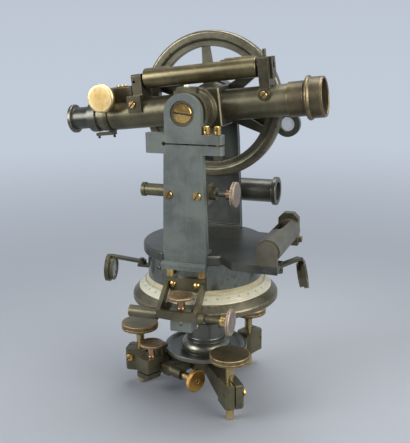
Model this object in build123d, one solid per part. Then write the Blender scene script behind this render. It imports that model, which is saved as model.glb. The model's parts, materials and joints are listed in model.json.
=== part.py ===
from build123d import *
import math
import os

# A transit theodolite on a three-screw tribrach: telescope with a level, vertical circle, two standards,
# plate with a level, horizontal circle on its own sleeve, clamps and tangent screws. Millimetres, +Z up
# along the vertical axis. The objective points to +X and the front standard faces -Y. The origin is the
# mouth of the threaded centre hole, under the tribrach.

# Clearances.
RUN = 0.05                 # radial clearance of a turning or sliding fit
GAP = 0.3                  # between faces that pass each other

# Tribrach and foot screws.
FOOT_DROP = 20.0           # from the tips of the feet up to the underside of the tribrach's boss
FOOT_REACH = 67.9          # foot screw axes from the vertical axis
FOOT_FIRST_ANGLE = 188.2   # direction of foot a; b and c follow every 120 degrees
BLOCK_BOTTOM = -3.0
BLOCK_TOP = 20.0
BLOCK_WIDTH = 18.0
BLOCK_INNER = 10.0         # from the foot screw's axis towards the middle
BLOCK_OUTER = 14.0
BLOCK_SLIT = 1.2
PINCH_OFFSET = 9.0         # pinch screw outside the foot screw's axis
PINCH_Z = 10.5
PINCH_R = 1.6
PINCH_HEAD_R = 3.7
PINCH_HEAD_T = 2.2
ARM_WIDTH = 13.0
ARM_TOP = 16.0
HUB_R = 17.0
HUB_BOTTOM = 4.0
HUB_TOP = 17.5
BOSS_R = 11.0
CENTRE_THREAD_R = 5.0      # threaded hole for the fixing bolt of a tripod
CENTRE_THREAD_DEPTH = 11.0
POST_R = 12.0              # upright post of the tribrach, on which the horizontal circle turns
POST_TOP = 68.0
SPINDLE_R = 7.5
SPINDLE_FOOT = 13.0
STEM_R = 4.0
STEM_TIP_R = 3.7
STEM_TOP = 44.0
HEAD_R = 18.4
HEAD_BOTTOM = 34.7
HEAD_HEIGHT = 12.1
HEAD_NECK_R = 7.0
HEAD_LOWER_RIM = (6.6, 4.4)  # both rims, measured down from the head's top
HEAD_UPPER_RIM = (3.6, 0.8)

# Sleeve of the horizontal circle with its clamping disc.
DISC_R = 40.5
DISC_BOTTOM = 22.5
DISC_RIM_T = 4.0
DISC_TOP = 28.5
DISC_FLOOR = 24.5
BALL_R = 24.4
BALL_TUBE_R = 7.0
BALL_Z = 28.5
SLEEVE_R = 19.0

# Horizontal circle: its bevel is one cone from the drum's foot down to the edge.
LIMB_R = 70.0
LIMB_EDGE_TOP = 86.0
LIMB_EDGE_BOTTOM = 81.0
LIMB_UNDER_R = 66.0
LIMB_UNDER_Z = 79.5
LIMB_FLANGE_R = 26.0
LIMB_FLANGE_Z = 58.0
LIMB_FLOOR_Z = 66.0
DRUM_R = 54.7
DRUM_FOOT = 102.9
SCALE_INNER_R = 57.6
SCALE_OUTER_R = 61.5
SCALE_T = 1.2
VERNIER_INNER_R = 51.0
VERNIER_DEPTH = 4.6
BEVEL = (DRUM_FOOT - LIMB_EDGE_TOP) / (LIMB_R - DRUM_R)

# Drum, plate and spindle of the alidade.
PLATE_BOTTOM = 127.0
PLATE_TOP = 136.5
PLATE_R = 58.5
DRUM_WALL = 4.0
WEB_Z = 104.0
WEB_T = 4.0
SPINDLE_HEAD_R = 13.0
SPINDLE_FLANGE_R = 24.0
SPINDLE_FLANGE_T = 4.0
WING_T = 7.0
WING_RIGHT = 88.0
WING_SIDE = 74.0
WING_CORNER_X = 48.0
WING_FRONT = -66.0
WING_BACK = 36.5

# Standards and trunnion.
TRUNNION_Z = 261.4
FRONT_FACE_Y = -53.5
FAR_INNER_Y = 49.0
STANDARD_T = 7.0
STANDARD_HALF_FOOT = 21.0
STANDARD_HALF_TOP = 18.0
NECK_Z = 226.4             # where the front standard's cross-head starts
HEAD_ROUND_R = 16.9
CROSS_HALF = 36.0
CROSS_TOP = 243.7
CROSS_T = 10.0
SAW_Z = 235.1
SAW_T = 1.3
SAW_START = -17.7
SAW_HOLE_R = 1.75
FRONT_FOOT_BOTTOM = 122.5
FRONT_FOOT_TOP = 129.5
FRONT_FOOT_Y = -59.0
FOOT_FLANGE_T = 3.0
FOOT_FLANGE_D = 5.5
JOURNAL_R = 11.0
CAP_R = 8.5
CAP_T = 2.4
FOOT_SCREW_X = (-12.6, 17.2)
FOOT_SCREW_Y = -57.0
FOOT_SCREW_R = 3.4
FOOT_SCREW_H = 5.6
ADJUSTER_X = (20.3, 30.1)
ADJUSTER_R = 3.0
ADJUSTER_H = 7.5
ADJUSTER_SHANK_R = 1.5
SLOT_W = 1.1
SLOT_D = 1.0

# Telescope, measured along its own axis from the trunnion: objective positive.
TILT = 6.1                 # elevation of the telescope at rest, degrees
CUBE_HALF_LENGTH = 22.0
CUBE_HALF_WIDTH = 16.0
CUBE_HALF_HEIGHT = 18.0
TUBE_R = 14.2
TUBE_BORE_R = 12.5
TUBE_BACK = -102.0
TUBE_FRONT = 81.5
CELL_R = 15.5
CELL_FRONT = 97.0
BEAD_R = 19.6
BEAD_T = 4.0
HOOD_R = 17.9
HOOD_WALL = 2.2
HOOD_FRONT = 113.0
LENS_R = 14.6
LENS_T = 4.0
DRAW_FRONT = -58.0
DRAW_BORE_R = 10.6
COLLAR_BACK = -114.0
COLLAR_FRONT = -106.0
COLLAR_R = 14.4
EYEPIECE_BACK = -136.0
EYEPIECE_FLANGE_R = 13.7
EYEPIECE_FLANGE_T = 3.6
EYEPIECE_R = 10.5
EYEPIECE_FRONT = -96.0
EYE_LENS_R = 7.0
EYE_LENS_T = 2.5
PINION_S = -90.5
PINION_N = 17.9
PINION_R = 3.8
RACK_TOP = 13.9
RACK_LENGTH = 36.0
RACK_W = 4.0
PINION_BOSS_R = 6.8
FOCUS_KNOB_R = 13.4
FOCUS_KNOB_T = 4.5
FOCUS_KNOB_Y = -21.5
FOCUS_SHAFT_R = 3.0
HOUSING_BACK = -88.0
HOUSING_FRONT = -66.0
HOUSING_TOP = 26.0
HOUSING_HALF_WIDTH = 8.0
HOUSING_SCREW_S = (-81.5, -77.5, -73.5)
HOUSING_SCREW_R = 1.6
HOUSING_ROUND = 1.2
BAND_R = 15.6
BAND_BACK = -96.2
BAND_FRONT = -92.6
BAND_MOUTH = 6.0
GUIDE_PIN_S = (-110.5, -94.0)
GUIDE_BAR_T = 2.8

# Trunnion axle, as depth along Y.
AXLE_FLANGE_R = 20.0
AXLE_FLANGE_T = 4.0
AXLE_NECK_R = 14.0
WHEEL_SEAT_R = 14.0
COLLAR_CLAMP_R = 18.5
COLLAR_CLAMP_Y = (-43.5, -33.5)
LUG_HALF = 9.0
LUG_TOP = 21.5

# Vertical circle, in the telescope's frame.
WHEEL_R = 68.5
WHEEL_STEP_R = 60.0
WHEEL_INNER_R = 54.0
WHEEL_HUB_R = 21.0
WHEEL_Y = 25.4
WHEEL_HALF_T = 4.9
WHEEL_STEP_HALF_T = 3.4
SPOKE_COUNT = 6
SPOKE_RIM_W = 7.0
SPOKE_HUB_W = 13.0
SPOKE_HALF_T = 2.6
WHEEL_SCALE_R = (61.5, 67.0)
WHEEL_SCALE_T = 0.8

# Telescope level.
LEVEL_N = 31.2             # height over the telescope's axis
LEVEL_R = 9.3
LEVEL_BORE_R = 6.4
LEVEL_ENDS = (-53.4, 55.4)
LEVEL_PIN_TIPS = (-59.9, 59.9)
LEVEL_PIN_R = 3.0
LEVEL_END_WALL = 5.0
LEVEL_WINDOW = (-28.0, 22.0)
LEVEL_WINDOW_W = 9.0
LEVEL_POST_HALF_W = 9.5
LEFT_POST_S = (-64.4, -54.8)
LEFT_POST_TOP = 36.0
LEFT_FOOT_N = (1.5, 17.0)
LEFT_FOOT_SPREAD = 4.0
RIGHT_POST_S = (57.5, 67.0)
RIGHT_POST_TOP = 39.0
FORK_T = 3.0
LEVEL_SCREW_R = 3.3

# Vernier arm and reading lenses of the vertical circle.
VERNIER_ARM_ANGLE = -17.2
VERNIER_ARM_Y = (33.0, 38.0)
VERNIER_ARM_HALF_W = 6.5
VERNIER_ARM_REACH = 62.0
VERNIER_BOSS_R = 22.0
VERNIER_PLATE_R = (57.5, 67.5)
VERNIER_SPAN = 26.0
READER_Y = (55.0, 61.0)
READER_REACH = 68.9
READER_R = 12.3
READER_HOLE_R = 7.0
READER_PIVOT_REACH = 54.0
READER_PIN_R = 2.6
READER_STRAP_HALF = 3.4

# Clamp arm and tangent screw of the telescope's motion, behind the front standard.
ARM_DROP_Z = 181.0
ARM_DROP_HALF_W = 4.5
VTANGENT_Z = 190.2
VTANGENT_Y = -38.0
VBARREL_R = 5.6
VBARREL_LEFT = -45.5
VBRACKET_HALF = 20.0
VBRACKET_OPEN = 13.0
VBRACKET_HALF_H = 9.0
VNUT_R = 5.8
VNUT_RIGHT = 26.0
VKNOB_X = (40.5, 44.2)
VKNOB_R = 11.4
VSCREW_R = 2.6
FACE_SCREW_X = (-14.2, 12.6)
FACE_SCREW_R = 3.7

# Plate level on the wing.
PLEVEL_X = 78.6
PLEVEL_Z = 148.2
PLEVEL_R = 10.8
PLEVEL_BORE_R = 6.4
PLEVEL_BLOCK_HALF_W = 9.2
PLEVEL_BLOCK_Y = (-66.0, -61.3)
PLEVEL_END_Y = 15.0
PLEVEL_WINDOW_Y = (-26.0, 8.0)
PLEVEL_POST_Y = (15.3, 23.5)
PLEVEL_POST_Z = 147.9
PLEVEL_POST_R = 15.6
PLEVEL_POST_HALF = 9.4

# Tube compass on the far standard.
COMPASS_Z = 171.5
COMPASS_R = 11.6
COMPASS_HALF = 49.5
COMPASS_FLANGE_R = 14.3
COMPASS_FLANGE_T = 4.5
COMPASS_SADDLE_T = 2.0

# Clamp and tangent screw of the alidade, outside the circle's edge, about one direction.
FRAME_ANGLE = -89.2
FRAME_PLATE_T = 3.0
FRAME_HALF = 19.0
FRAME_WINDOW_HALF = 15.3
FRAME_BAR_R = (78.2, 82.2)
FRAME_TOP = 92.0
FRAME_BOTTOM = 84.0
FRAME_PLATE_TOP = 115.0
DOME_OFFSET = 11.6
DOME_Z = 108.7
DOME_R = 3.3
DOME_SHANK_R = 1.5
TANGENT_REACH = 75.0
TANGENT_Z = 85.8
BARREL_R = 5.4
BARREL_LENGTH = 27.0
JAW_HALF = 10.0
JAW_Y = 3.3                # middle of the jaw, beside the middle of the window
JAW_OUTER_R = 77.2
JAW_INNER_R = 63.0
JAW_BOTTOM = 72.0
JAW_TOP = 93.0
CLAMP_KNOB_R = 11.4
CLAMP_STEM_R = 4.0
CLAMP_SCREW_R = 2.5
CLAMP_KNOB_Z = 102.4
TANGENT_KNOB_R = 12.0
TANGENT_KNOB_Y = 46.5
TANGENT_KNOB_T = 3.6

# Clamp and tangent screw under the disc, between feet a and b.
LOWER_ANGLE = -116.0
LOWER_BLOCK_X = (40.0, 58.0)
LOWER_BLOCK_Y = (-40.0, -22.5)
LOWER_BLOCK_Z = (-1.0, 20.0)
LOWER_SLIT_Z = 4.2
LOWER_ARM_X = 30.0
LOWER_ARM_Y = -31.0
LOWER_JAW_TOP = 30.4
LOWER_SCREW_AT = (47.3, -28.1)
LOWER_KNOB_R = 11.9
LOWER_KNOB_Z = 32.0
LOWER_TANGENT_X = 38.4
LOWER_TANGENT_Z = 9.5
LOWER_NUT_Y = (-17.5, -8.0)
LOWER_NUT_HALF = 5.0
LOWER_BARREL_R = 5.4
LOWER_BARREL_END = 6.5
LOWER_PLUNGER_R = 2.2
LOWER_WHEEL_R = 11.0
LOWER_WHEEL_Y = (22.5, 27.0)

# Reading lenses of the horizontal circle.
LOUPE_ANGLE = 11.1
LOUPE_REACH = 93.7
LOUPE_Z = 103.6
LOUPE_DIP = 11.0
LEFT_LOUPE_DIP = 2.0
LOUPE_R = 13.4
LOUPE_BARREL_R = 11.8
LOUPE_HOLE_R = 9.6
LOUPE_T = 4.0
LOUPE_ARM_W = 6.0
LOUPE_ARM_T = 2.6


def turned(*profile):
    """Solid of revolution about Z from (radius, height) corners."""
    return revolve(Plane.XZ * make_face(Polyline(*profile, close=True)), Axis.Z)


def disc(radius, low, high, hole=0.0):
    """Round plate about Z between two heights, with an optional hole."""
    body = Pos(0, 0, (low + high) / 2) * Cylinder(radius, high - low)
    return body - Pos(0, 0, (low + high) / 2) * Cylinder(hole, high - low + 2) if hole else body


def slab(x, y, z):
    """Box from its (low, high) limits along the three axes."""
    size = [high - low for low, high in (x, y, z)]
    return Pos(*[(low + high) / 2 for low, high in (x, y, z)]) * Box(*size)


def rod(start, end, radius, hole=0.0):
    """Round bar from one point to another, with an optional bore."""
    start, end = Vector(*start), Vector(*end)
    along = end - start
    place = Plane(origin=start, z_dir=along.normalized()).location
    return place * disc(radius, 0, along.length, hole)


def along_x(solid):
    """Turns a solid's Z to +X."""
    return Rot(0, 90, 0) * solid


def along_y(solid):
    """Turns a solid's Z to +Y."""
    return Rot(-90, 0, 0) * solid


def on_telescope(solid):
    """Puts a piece drawn in the telescope's own frame on the trunnion, at the rest elevation."""
    return Pos(0, 0, TRUNNION_Z) * Rot(0, -TILT, 0) * solid


def cone_z(radius):
    """Height of the circle's bevel at a radius."""
    return DRUM_FOOT - (radius - DRUM_R) * BEVEL


def foot_place(index):
    """Foot screw axis of one arm, with X pointing outwards."""
    return Rot(0, 0, FOOT_FIRST_ANGLE + 120 * index) * Pos(FOOT_REACH, 0, 0)


def slotted(radius, low, high, slot_angle=0.0):
    """Cheese head about Z with a driver slot across its top."""
    head = disc(radius, low, high)
    head = chamfer(head.edges().sort_by(Axis.Z)[-1], 0.5)
    slot = slab((-radius, radius), (-SLOT_W / 2, SLOT_W / 2), (high - SLOT_D, high + 1))
    return head - Rot(0, 0, slot_angle) * slot


def tribrach():
    post_bore = SPINDLE_R + RUN
    body = turned(
        (0, 0), (BOSS_R, 0), (BOSS_R, HUB_BOTTOM), (HUB_R, HUB_BOTTOM), (HUB_R, HUB_TOP),
        (POST_R, HUB_TOP), (POST_R, POST_TOP), (0, POST_TOP),
    )
    block_start = FOOT_REACH - BLOCK_INNER
    arm_side = make_face(Polyline(
        (POST_R, HUB_BOTTOM), (POST_R, ARM_TOP), (block_start + 1, ARM_TOP),
        (block_start + 1, BLOCK_BOTTOM), (block_start - 8, BLOCK_BOTTOM), close=True))
    arm = Pos(0, ARM_WIDTH / 2, 0) * extrude(Plane.XZ * arm_side, ARM_WIDTH)
    block = slab((-BLOCK_INNER, BLOCK_OUTER), (-BLOCK_WIDTH / 2, BLOCK_WIDTH / 2), (BLOCK_BOTTOM, BLOCK_TOP))
    block = chamfer(block.edges().filter_by(Axis.Z), 2.5)
    block = chamfer(block.faces().sort_by(Axis.Z)[-1].edges(), 1.0)
    bore = disc(STEM_R + RUN, BLOCK_BOTTOM - 1, BLOCK_TOP + 1)
    slit = slab((0, BLOCK_OUTER + 1), (-BLOCK_SLIT / 2, BLOCK_SLIT / 2), (BLOCK_BOTTOM - 1, BLOCK_TOP + 1))
    pinch = rod((PINCH_OFFSET, -BLOCK_WIDTH, PINCH_Z), (PINCH_OFFSET, BLOCK_WIDTH, PINCH_Z), PINCH_R + RUN)
    for index in range(3):
        body += Rot(0, 0, FOOT_FIRST_ANGLE + 120 * index) * arm
        body += foot_place(index) * block
    for index in range(3):
        body -= foot_place(index) * (bore + slit + pinch)
    plunger_at = LOWER_BLOCK_X[0] + 2.5
    body += lower_local(rod((plunger_at, -50, LOWER_TANGENT_Z), (plunger_at, LOWER_BLOCK_Y[0], LOWER_TANGENT_Z),
                            LOWER_PLUNGER_R))
    body -= disc(CENTRE_THREAD_R, -1, CENTRE_THREAD_DEPTH)
    return body - disc(post_bore, SPINDLE_FOOT - 0.5, POST_TOP + 1)


def block_pinch_screws():
    half = BLOCK_WIDTH / 2
    head = Pos(0, 0, half) * slotted(PINCH_HEAD_R, 0, PINCH_HEAD_T, 35)
    screw = along_y(head + disc(PINCH_R, -half + 1, half + 0.5))
    return [foot_place(index) * Pos(PINCH_OFFSET, 0, PINCH_Z) * screw for index in range(3)]


def foot_stem():
    """Foot screw with a rounded point, about Z."""
    return turned(
        (0, -FOOT_DROP), (1.8, -FOOT_DROP + 0.3), (3.0, -FOOT_DROP + 1.3), (STEM_TIP_R, -FOOT_DROP + 3.2),
        (STEM_TIP_R, BLOCK_BOTTOM - 4), (STEM_R, BLOCK_BOTTOM - 3.5), (STEM_R, STEM_TOP), (0, STEM_TOP),
    )


def foot_head():
    """Broad double disc that turns a foot screw, about Z, with the socket for the stem."""
    low, high = HEAD_BOTTOM, HEAD_BOTTOM + HEAD_HEIGHT
    socket = STEM_R + RUN
    return turned(
        (socket, low), (HEAD_NECK_R, low), (HEAD_NECK_R + 2, low + 2.6), (HEAD_R - 2, low + 4.7),
        (HEAD_R, high - HEAD_LOWER_RIM[0]), (HEAD_R, high - HEAD_LOWER_RIM[1]), (HEAD_R - 1.2, high - 4.0),
        (HEAD_R, high - HEAD_UPPER_RIM[0]), (HEAD_R, high - HEAD_UPPER_RIM[1]), (HEAD_R - 0.5, high - 0.4), (0, high),
        (0, STEM_TOP + GAP), (socket, STEM_TOP + GAP),
    )


def circle_sleeve():
    """Sleeve on the post, with the clamping disc and the rounded ring above it, turned from one piece."""
    dish = turned(
        (0, DISC_BOTTOM), (DISC_R - 10, DISC_BOTTOM), (DISC_R, DISC_TOP - DISC_RIM_T), (DISC_R, DISC_TOP),
        (DISC_R - 2.5, DISC_TOP), (DISC_R - 6, DISC_TOP - 2.4), (BALL_R - 2, DISC_FLOOR), (0, DISC_FLOOR),
    )
    ring = Pos(0, 0, BALL_Z) * Torus(BALL_R - BALL_TUBE_R, BALL_TUBE_R)
    body = dish + disc(SLEEVE_R, DISC_FLOOR, LIMB_FLANGE_Z) + ring
    return body - disc(POST_R + RUN, DISC_BOTTOM - 5, LIMB_FLANGE_Z + 1)


def circle_plate():
    bore = POST_R + RUN
    body = turned(
        (bore, LIMB_FLANGE_Z), (LIMB_FLANGE_R, LIMB_FLANGE_Z), (LIMB_UNDER_R, LIMB_UNDER_Z),
        (LIMB_R, LIMB_EDGE_BOTTOM), (LIMB_R, LIMB_EDGE_TOP), (SCALE_INNER_R, cone_z(SCALE_INNER_R)),
        (SCALE_INNER_R, LIMB_EDGE_TOP + 4), (VERNIER_INNER_R - 4, LIMB_EDGE_TOP - 3),
        (SPINDLE_FLANGE_R, LIMB_FLOOR_Z + 2), (bore, LIMB_FLOOR_Z),
    )
    return body - circle_scale()


def circle_scale():
    """Silver band inlaid in the bevel."""
    return turned(
        (SCALE_INNER_R, cone_z(SCALE_INNER_R)), (SCALE_INNER_R, cone_z(SCALE_INNER_R) - SCALE_T),
        (SCALE_OUTER_R, cone_z(SCALE_OUTER_R) - SCALE_T), (SCALE_OUTER_R, cone_z(SCALE_OUTER_R)),
    )


def vernier_ring():
    """Silver ring at the drum's foot, which carries on the circle's bevel."""
    outer = SCALE_INNER_R - GAP
    return turned(
        (VERNIER_INNER_R, DRUM_FOOT - VERNIER_DEPTH), (outer, DRUM_FOOT - VERNIER_DEPTH),
        (outer, cone_z(outer)), (DRUM_R, DRUM_FOOT), (VERNIER_INNER_R, DRUM_FOOT),
    )


def alidade_spindle():
    top = WEB_Z + WEB_T
    return turned(
        (0, SPINDLE_FOOT), (SPINDLE_R, SPINDLE_FOOT), (SPINDLE_R, POST_TOP + GAP),
        (SPINDLE_HEAD_R, POST_TOP + GAP), (SPINDLE_HEAD_R, WEB_Z - SPINDLE_FLANGE_T),
        (SPINDLE_FLANGE_R, WEB_Z - SPINDLE_FLANGE_T), (SPINDLE_FLANGE_R, WEB_Z),
        (SPINDLE_HEAD_R, WEB_Z), (SPINDLE_HEAD_R, top), (0, top),
    )


def bracket_screw_holes():
    """Holes of the two dome screws through the bracket and the drum's wall."""
    holes = []
    for side in (-1, 1):
        turn = math.degrees(side * DOME_OFFSET / (DRUM_R + FRAME_PLATE_T))
        hole = rod((DRUM_R - DRUM_WALL - 1, 0, DOME_Z), (DRUM_R + FRAME_PLATE_T + 1, 0, DOME_Z), DOME_SHANK_R + RUN)
        holes.append(Rot(0, 0, FRAME_ANGLE + turn) * hole)
    return holes


def alidade_drum():
    inner = DRUM_R - DRUM_WALL
    wall = turned(
        (SPINDLE_HEAD_R, WEB_Z), (inner, WEB_Z), (inner, DRUM_FOOT), (DRUM_R, DRUM_FOOT),
        (DRUM_R, PLATE_BOTTOM), (inner, PLATE_BOTTOM), (inner, WEB_Z + WEB_T), (SPINDLE_HEAD_R, WEB_Z + WEB_T),
    )
    return wall - bracket_screw_holes()


def alidade_plate():
    round_plate = disc(PLATE_R, PLATE_BOTTOM, PLATE_TOP)
    round_plate = fillet(round_plate.edges().filter_by(GeomType.CIRCLE), 2.0)
    wing = make_face(Polyline(
        (30, -46), (WING_CORNER_X, WING_FRONT + 0.5), (WING_RIGHT, WING_FRONT), (WING_RIGHT, WING_FRONT + 9),
        (WING_SIDE, WING_FRONT + 18), (WING_SIDE, WING_BACK), (41, WING_BACK + 1), (30, 40), close=True))
    body = round_plate + Pos(0, 0, PLATE_TOP - WING_T) * extrude(wing, WING_T)
    front = FRONT_FACE_Y + STANDARD_T
    return body - slab((-STANDARD_HALF_FOOT, STANDARD_HALF_FOOT), (-PLATE_R - 1, front),
                       (PLATE_BOTTOM - 1, PLATE_TOP + 1))


def standard_outline(cross_head):
    """Tapered plate with a round head, and the cross-head where it has one, as a face in XZ."""
    sides = make_face(Polyline(
        (-STANDARD_HALF_FOOT, PLATE_BOTTOM), (STANDARD_HALF_FOOT, PLATE_BOTTOM),
        (STANDARD_HALF_TOP, NECK_Z), (HEAD_ROUND_R, CROSS_TOP), (HEAD_ROUND_R, TRUNNION_Z),
        (-HEAD_ROUND_R, TRUNNION_Z), (-HEAD_ROUND_R, CROSS_TOP), (-STANDARD_HALF_TOP, NECK_Z), close=True))
    outline = sides + Pos(0, TRUNNION_Z) * Circle(HEAD_ROUND_R)
    if cross_head:
        outline += Pos(0, (NECK_Z + CROSS_TOP) / 2) * Rectangle(2 * CROSS_HALF, CROSS_TOP - NECK_Z)
    return outline


def front_standard():
    inner = FRONT_FACE_Y + STANDARD_T
    body = Pos(0, inner, 0) * extrude(Plane.XZ * standard_outline(False), STANDARD_T)
    cross = slab((-CROSS_HALF, CROSS_HALF), (FRONT_FACE_Y, FRONT_FACE_Y + CROSS_T), (NECK_Z, CROSS_TOP))
    body += fillet(cross.edges().filter_by(Axis.Z), CROSS_T / 2 - 0.8)
    foot = slab((-STANDARD_HALF_FOOT, STANDARD_HALF_FOOT), (FRONT_FOOT_Y, inner),
                (FRONT_FOOT_BOTTOM, FRONT_FOOT_TOP))
    foot = chamfer(foot.edges().filter_by(Axis.X).sort_by(Axis.Y)[:2].sort_by(Axis.Z)[-1], 2.5)
    body += foot
    body += slab((-STANDARD_HALF_FOOT, STANDARD_HALF_FOOT), (inner, inner + FOOT_FLANGE_D),
                 (PLATE_TOP, PLATE_TOP + FOOT_FLANGE_T))
    body -= disc(DRUM_R + 0.1, FRONT_FOOT_BOTTOM - 1, PLATE_BOTTOM)
    body -= slab((SAW_START, CROSS_HALF + 1), (FRONT_FACE_Y - 1, FRONT_FACE_Y + CROSS_T + 1),
                 (SAW_Z - SAW_T / 2, SAW_Z + SAW_T / 2))
    body -= rod((SAW_START, FRONT_FACE_Y - 1, SAW_Z), (SAW_START, inner + 5, SAW_Z), SAW_HOLE_R)
    for x in ADJUSTER_X:
        middle = FRONT_FACE_Y + CROSS_T / 2
        body -= Pos(x, middle, 0) * disc(ADJUSTER_SHANK_R + RUN, NECK_Z + 3, CROSS_TOP + 1)
    for x in FACE_SCREW_X:
        body -= rod((x, FRONT_FACE_Y - 1, VTANGENT_Z), (x, inner + 1, VTANGENT_Z), PINCH_R + RUN)
    for x in FOOT_SCREW_X:
        body -= Pos(x, FOOT_SCREW_Y, 0) * disc(PINCH_R + RUN, FRONT_FOOT_BOTTOM - 1, FRONT_FOOT_TOP - 4)
    return body - trunnion_bore()


def trunnion_bore():
    """Space of both journals."""
    return rod((0, FRONT_FACE_Y - 10, TRUNNION_Z), (0, FAR_INNER_Y + 20, TRUNNION_Z), JOURNAL_R + RUN)


def far_standard():
    body = Pos(0, FAR_INNER_Y + STANDARD_T, 0) * extrude(Plane.XZ * standard_outline(False), STANDARD_T)
    body -= slab((-PLATE_R, PLATE_R), (0, PLATE_R + 5), (PLATE_BOTTOM - 1, PLATE_TOP))
    body += slab((-STANDARD_HALF_FOOT, STANDARD_HALF_FOOT), (FAR_INNER_Y - FOOT_FLANGE_D, FAR_INNER_Y),
                 (PLATE_TOP, PLATE_TOP + FOOT_FLANGE_T))
    return body - trunnion_bore()


def alidade_screws():
    """Brass screws of the alidade: under the front foot, on its face, on the drum's bracket and over the saw cut."""
    screws = []
    for x in ADJUSTER_X:
        head = chamfer(disc(ADJUSTER_R, CROSS_TOP, CROSS_TOP + ADJUSTER_H).edges(), 0.6)
        for end in ((5, 0), (0, 5)):
            head -= rod((-end[0], -end[1], CROSS_TOP + 4), (*end, CROSS_TOP + 4), 0.8)
        shank = disc(ADJUSTER_SHANK_R, NECK_Z + 4, CROSS_TOP + 1)
        screws.append(Pos(x, FRONT_FACE_Y + CROSS_T / 2, 0) * (head + shank))
    under = Rot(180, 0, 0) * slotted(FOOT_SCREW_R, 0, FOOT_SCREW_H) + disc(PINCH_R, -2.8, 0.5)
    face = slotted(FACE_SCREW_R, 0, 1.8, 60) + disc(PINCH_R, -STANDARD_T - 2, 0.5)
    for x in FOOT_SCREW_X:
        screws.append(Pos(x, FOOT_SCREW_Y, FRONT_FOOT_BOTTOM) * under)
    for x in FACE_SCREW_X:
        screws.append(Pos(x, FRONT_FACE_Y, VTANGENT_Z) * Rot(90, 0, 0) * face)
    dome = turned((0, -5), (DOME_SHANK_R, -5), (DOME_SHANK_R, 0), (DOME_R, 0), (DOME_R * 0.85, 1.3),
                  (DOME_R * 0.5, 2.1), (0, 2.4))
    for side in (-1, 1):
        turn = math.degrees(side * DOME_OFFSET / (DRUM_R + FRAME_PLATE_T))
        place = Rot(0, 0, FRAME_ANGLE + turn) * Pos(DRUM_R + FRAME_PLATE_T, 0, DOME_Z)
        screws.append(place * along_x(dome))
    return screws


def telescope_tube():
    tube = along_x(disc(TUBE_R, TUBE_BACK, TUBE_FRONT))
    cube = slab((-CUBE_HALF_LENGTH, CUBE_HALF_LENGTH), (-CUBE_HALF_WIDTH, CUBE_HALF_WIDTH),
                (-CUBE_HALF_HEIGHT, CUBE_HALF_HEIGHT))
    body = tube + chamfer(cube.edges(), 1.2)
    body -= along_x(disc(TUBE_BORE_R, TUBE_BACK - 1, TUBE_FRONT + 1))
    slot = slab((TUBE_BACK - 1, HOUSING_FRONT - 3), (-RACK_W / 2 - GAP, RACK_W / 2 + GAP), (0, TUBE_R + 1))
    return on_telescope(body - slot)


def trunnion_axle():
    """Both halves of the axle: flange on the cube, neck, and journal in its standard."""
    inner_front = -(FRONT_FACE_Y + STANDARD_T)
    front = turned(
        (0, CUBE_HALF_WIDTH), (AXLE_FLANGE_R, CUBE_HALF_WIDTH), (AXLE_FLANGE_R, CUBE_HALF_WIDTH + AXLE_FLANGE_T),
        (AXLE_FLANGE_R - 3, CUBE_HALF_WIDTH + AXLE_FLANGE_T + 1.5), (AXLE_FLANGE_R - 3.5, 31.5),
        (AXLE_NECK_R, 31.5), (AXLE_NECK_R, inner_front - GAP), (JOURNAL_R, inner_front - GAP),
        (JOURNAL_R, -FRONT_FACE_Y - 1.0), (CAP_R, -FRONT_FACE_Y - 1.0), (CAP_R, -FRONT_FACE_Y - CAP_T),
        (0, -FRONT_FACE_Y - CAP_T),
    )
    seat_start = WHEEL_Y - WHEEL_HALF_T
    far_end = FAR_INNER_Y + STANDARD_T
    back = turned(
        (0, CUBE_HALF_WIDTH), (AXLE_FLANGE_R, CUBE_HALF_WIDTH), (AXLE_FLANGE_R, seat_start),
        (WHEEL_SEAT_R, seat_start), (WHEEL_SEAT_R, FAR_INNER_Y - GAP), (JOURNAL_R, FAR_INNER_Y - GAP),
        (JOURNAL_R, far_end - 1.0), (CAP_R, far_end - 1.0), (CAP_R, far_end - CAP_T), (0, far_end - CAP_T),
    )
    return [on_telescope(Rot(90, 0, 0) * front), on_telescope(along_y(back))]


def objective_cell():
    bore = TUBE_BORE_R
    profile = (
        (bore, TUBE_FRONT), (CELL_R, TUBE_FRONT), (CELL_R, CELL_FRONT), (BEAD_R, CELL_FRONT + 1),
        (BEAD_R, CELL_FRONT + BEAD_T), (HOOD_R, CELL_FRONT + BEAD_T + 1.5), (HOOD_R, HOOD_FRONT),
        (HOOD_R - HOOD_WALL, HOOD_FRONT), (HOOD_R - HOOD_WALL, CELL_FRONT + BEAD_T), (LENS_R, CELL_FRONT + BEAD_T),
        (LENS_R, CELL_FRONT), (bore, CELL_FRONT),
    )
    return on_telescope(along_x(turned(*profile)))


def objective_lens():
    bulge = Pos(0, 0, CELL_FRONT + LENS_T - 60.0) * Sphere(60.0)
    return on_telescope(along_x(disc(LENS_R, CELL_FRONT, CELL_FRONT + LENS_T) & bulge))


def draw_tube():
    """Sliding tube with its rack on top and the eyepiece's collar behind."""
    outer = TUBE_BORE_R - RUN
    body = along_x(turned(
        (DRAW_BORE_R, COLLAR_BACK), (COLLAR_R, COLLAR_BACK), (COLLAR_R, COLLAR_FRONT), (outer, COLLAR_FRONT),
        (outer, DRAW_FRONT), (DRAW_BORE_R, DRAW_FRONT)))
    rack = slab((PINION_S - RACK_LENGTH / 2 + 9, PINION_S + RACK_LENGTH / 2), (-RACK_W / 2, RACK_W / 2),
                (DRAW_BORE_R + 0.8, RACK_TOP))
    return on_telescope(body + (rack - along_x(disc(DRAW_BORE_R, -200, 0))))


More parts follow.
